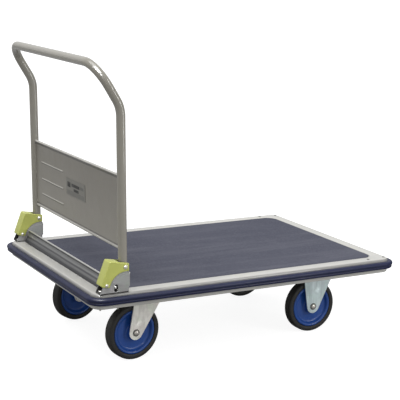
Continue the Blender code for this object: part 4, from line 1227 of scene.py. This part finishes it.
def make_swivel_caster(side, top, plate_low):
    def turn(bm):
        return swivelled(side, bm)

    x, y = SWIVEL_X, caster_y(side)
    body = f"swivel_{side}"
    race_low = plate_low - GAP - 0.008
    plate_part = merged(caster_plate(x, y, plate_low, top), plate_bolts(x, y, plate_low))
    piece(f"swivel_top_{side}", plate_part, "swivel", "zinc_fastener", "deck", f"swivel_plate_{side}")
    race = eased([
        (0.0063, race_low + 0.0004), (0.024, race_low + 0.0002), (0.03, race_low + 0.0008),
        (0.0335, race_low + 0.003), (0.0338, race_low + 0.0052), (0.0325, race_low + 0.0054),
        (0.0322, race_low + 0.0064), (0.0335, race_low + 0.007), (0.029, plate_low - GAP),
        (0.0063, plate_low - GAP),
    ], 0.0006, 2)
    fastener(f"swivel_ring_{side}", turned(race, (x, y, 0), "z", 64, ring=True), f"swivel_race_{side}")
    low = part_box(f"kingpin_{side}")[0].z
    pin = [(0.006, top - 0.0004), (0.006, low + 0.007), (0.0108, low + 0.007), (0.011, low + 0.0064)]
    pin += [(0.011, low + 0.0042), (0.01, low + 0.0022), (0.008, low + 0.0008), (0.0045, low)]
    pin += [(0.004, low + 0.0008)]
    fastener(f"kingpin_rivet_{side}", turned(pin, (x, y, 0), "z", 40), f"kingpin_{side}")

    high = race_low - GAP
    fork = fork_sheet(y, high - 0.001, SWIVEL_AXLE_X, x - 0.043, x + 0.043, swivel_relief)
    crown = [(0.0064, high - 0.004), (0.03, high - 0.004), (0.036, high - 0.0034), (0.0375, high - 0.002)]
    crown += [(0.0368, high - 0.0008), (0.034, high), (0.0064, high)]
    whole, node = merged(turn(fork), turned(crown, (x, y, 0), "z", 64, ring=True)), f"swivel_fork_{side}"
    piece(f"swivel_yoke_{side}", whole, "swivel", "fork_zinc", body, node, angle=45, bevel=0.0004)
    fastener(f"swivel_rivet_{side}", turn(axle_set(SWIVEL_AXLE_X, y)), f"swivel_axle_{side}", body=body)
    fastener(f"swivel_washers_{side}", turn(axle_washers(SWIVEL_AXLE_X, y)), body=body, look="dull")
    put_wheel("rear", side, SWIVEL_AXLE_X, turn)


def make_rigid_caster(side, top, plate_low):
    x, y = RIGID_PLATE_X, caster_y(side)
    fork = fork_sheet(y, top - 0.0036, RIGID_AXLE_X, x - 0.051, x + 0.053, rigid_relief)
    whole, node = merged(fork, caster_plate(x, y, plate_low, top)), f"rigid_fork_{side}"
    piece(f"rigid_yoke_{side}", whole, "fork", "fork_zinc", "deck", node, angle=45, bevel=0.0004)
    fastener(f"rigid_screws_{side}", plate_bolts(x, y, plate_low))
    fastener(f"rigid_rivet_{side}", axle_set(RIGID_AXLE_X, y), f"rigid_axle_{side}")
    fastener(f"rigid_washers_{side}", axle_washers(RIGID_AXLE_X, y), look="dull")
    put_wheel("front", side, RIGID_AXLE_X, lambda shape: shape)


def make_casters():
    for side in SIDES:
        make_swivel_caster(side, CASTER_HEIGHT, CASTER_HEIGHT - PLATE_THICKNESS)
        make_rigid_caster(side, CASTER_HEIGHT, CASTER_HEIGHT - PLATE_THICKNESS)


# ---------------------------------------------------------------- stage
def make_floor():
    """A pale floor; the light it shows the camera is lifted, so the shadow on it stays faint."""
    mesh = bpy.data.meshes.new("floor")
    half, low = 60, -0.0002
    bm = loft([[(x, y, low) for x in (-half, half)] for y in (-half, half)], closed=False)
    bm.to_mesh(mesh)
    bm.free()
    floor = placed("floor", mesh)
    look = Look("floor_pale", (0.27, 0.27, 0.27), 0.9)
    look.set("Specular IOR Level", 0.1)
    look.set("Emission Color", (1, 1, 1, 1))
    seen = look.node("LightPath").outputs["Is Camera Ray"]
    look.link(look.times(seen, 0.9), look.shader.inputs["Emission Strength"])
    mesh.materials.append(look.done())


def make_world():
    """Studio light that is bright overhead and to one side, and dim near the floor."""
    world = bpy.data.worlds.new("studio")
    world.use_nodes = True
    graph = Graph(world.node_tree)
    around = graph.node("TexCoord").outputs["Generated"]
    total = 0
    for axis, low, high, start, end in (
        ("Z", 0, 0.75, 0.16, 0.62), ("X", -0.9, 0.3, 0.28, 0),
        ("Y", -0.95, -0.2, 0.28, 0), ("Y", 0.35, 0.9, 0, 0.4),
    ):
        part = graph.ramp(graph.split(around, axis), low, high, start, end, "SMOOTHSTEP")
        total = graph.math("ADD", total, part)
    background = graph.tree.nodes["Background"]
    graph.link(total, background.inputs["Strength"])
    background.inputs["Color"].default_value = (1, 1, 1, 1)
    bpy.context.scene.world = world


def make_light(name, kind, energy, rotation, place=(0, 0, 3), size=None, angle=None, glossy=False):
    light = bpy.data.lights.new(name, kind)
    light.energy = energy
    if size:
        light.shape = "RECTANGLE"
        light.size, light.size_y = size
    if angle:
        light.angle = radians(angle)
    obj = placed(name, light)
    obj.location = place
    obj.rotation_euler = [radians(r) for r in rotation]
    obj.visible_diffuse = not glossy


def make_camera():
    scene = bpy.context.scene
    camera = bpy.data.cameras.new("camera")
    camera.lens = 105.95
    camera.sensor_width = 36
    camera.clip_end = 200
    obj = placed("camera", camera)
    yaw, pitch, roll = 0.5117, 0.2103, 0.0273
    forward = Vector((cos(pitch) * sin(yaw), cos(pitch) * cos(yaw), -sin(pitch)))
    level = Vector((cos(yaw), -sin(yaw), 0))
    above = level.cross(forward)
    right = cos(roll) * level + sin(roll) * above
    up = -sin(roll) * level + cos(roll) * above
    matrix = Matrix((right, up, -forward)).transposed().to_4x4()
    matrix.translation = Vector((-1.5952, -2.8443, 1.0595))
    obj.matrix_world = matrix
    scene.camera = obj
    scene.view_settings.view_transform = "Standard"


make_deck()
make_bumper()
make_under_frame()
make_brackets()
make_guards()
make_bracket_fasteners()
make_handle()
make_release()
make_casters()
make_floor()
make_world()
make_light("overhead", "SUN", 2.4, (6, -10, 0), angle=60)
make_light("softbox", "AREA", 68, (25, -20, 0), (-0.95, -0.9, 1.78), size=(0.95, 0.75), glossy=True)
make_light("window", "AREA", 5, (50, -15, 0), (-0.86, -1.35, 1.4), size=(0.26, 0.18), glossy=True)
make_light("strip", "AREA", 14, (78, 0, 37), (1.05, -1.8, 0.95), size=(0.3, 1.7))
make_camera()
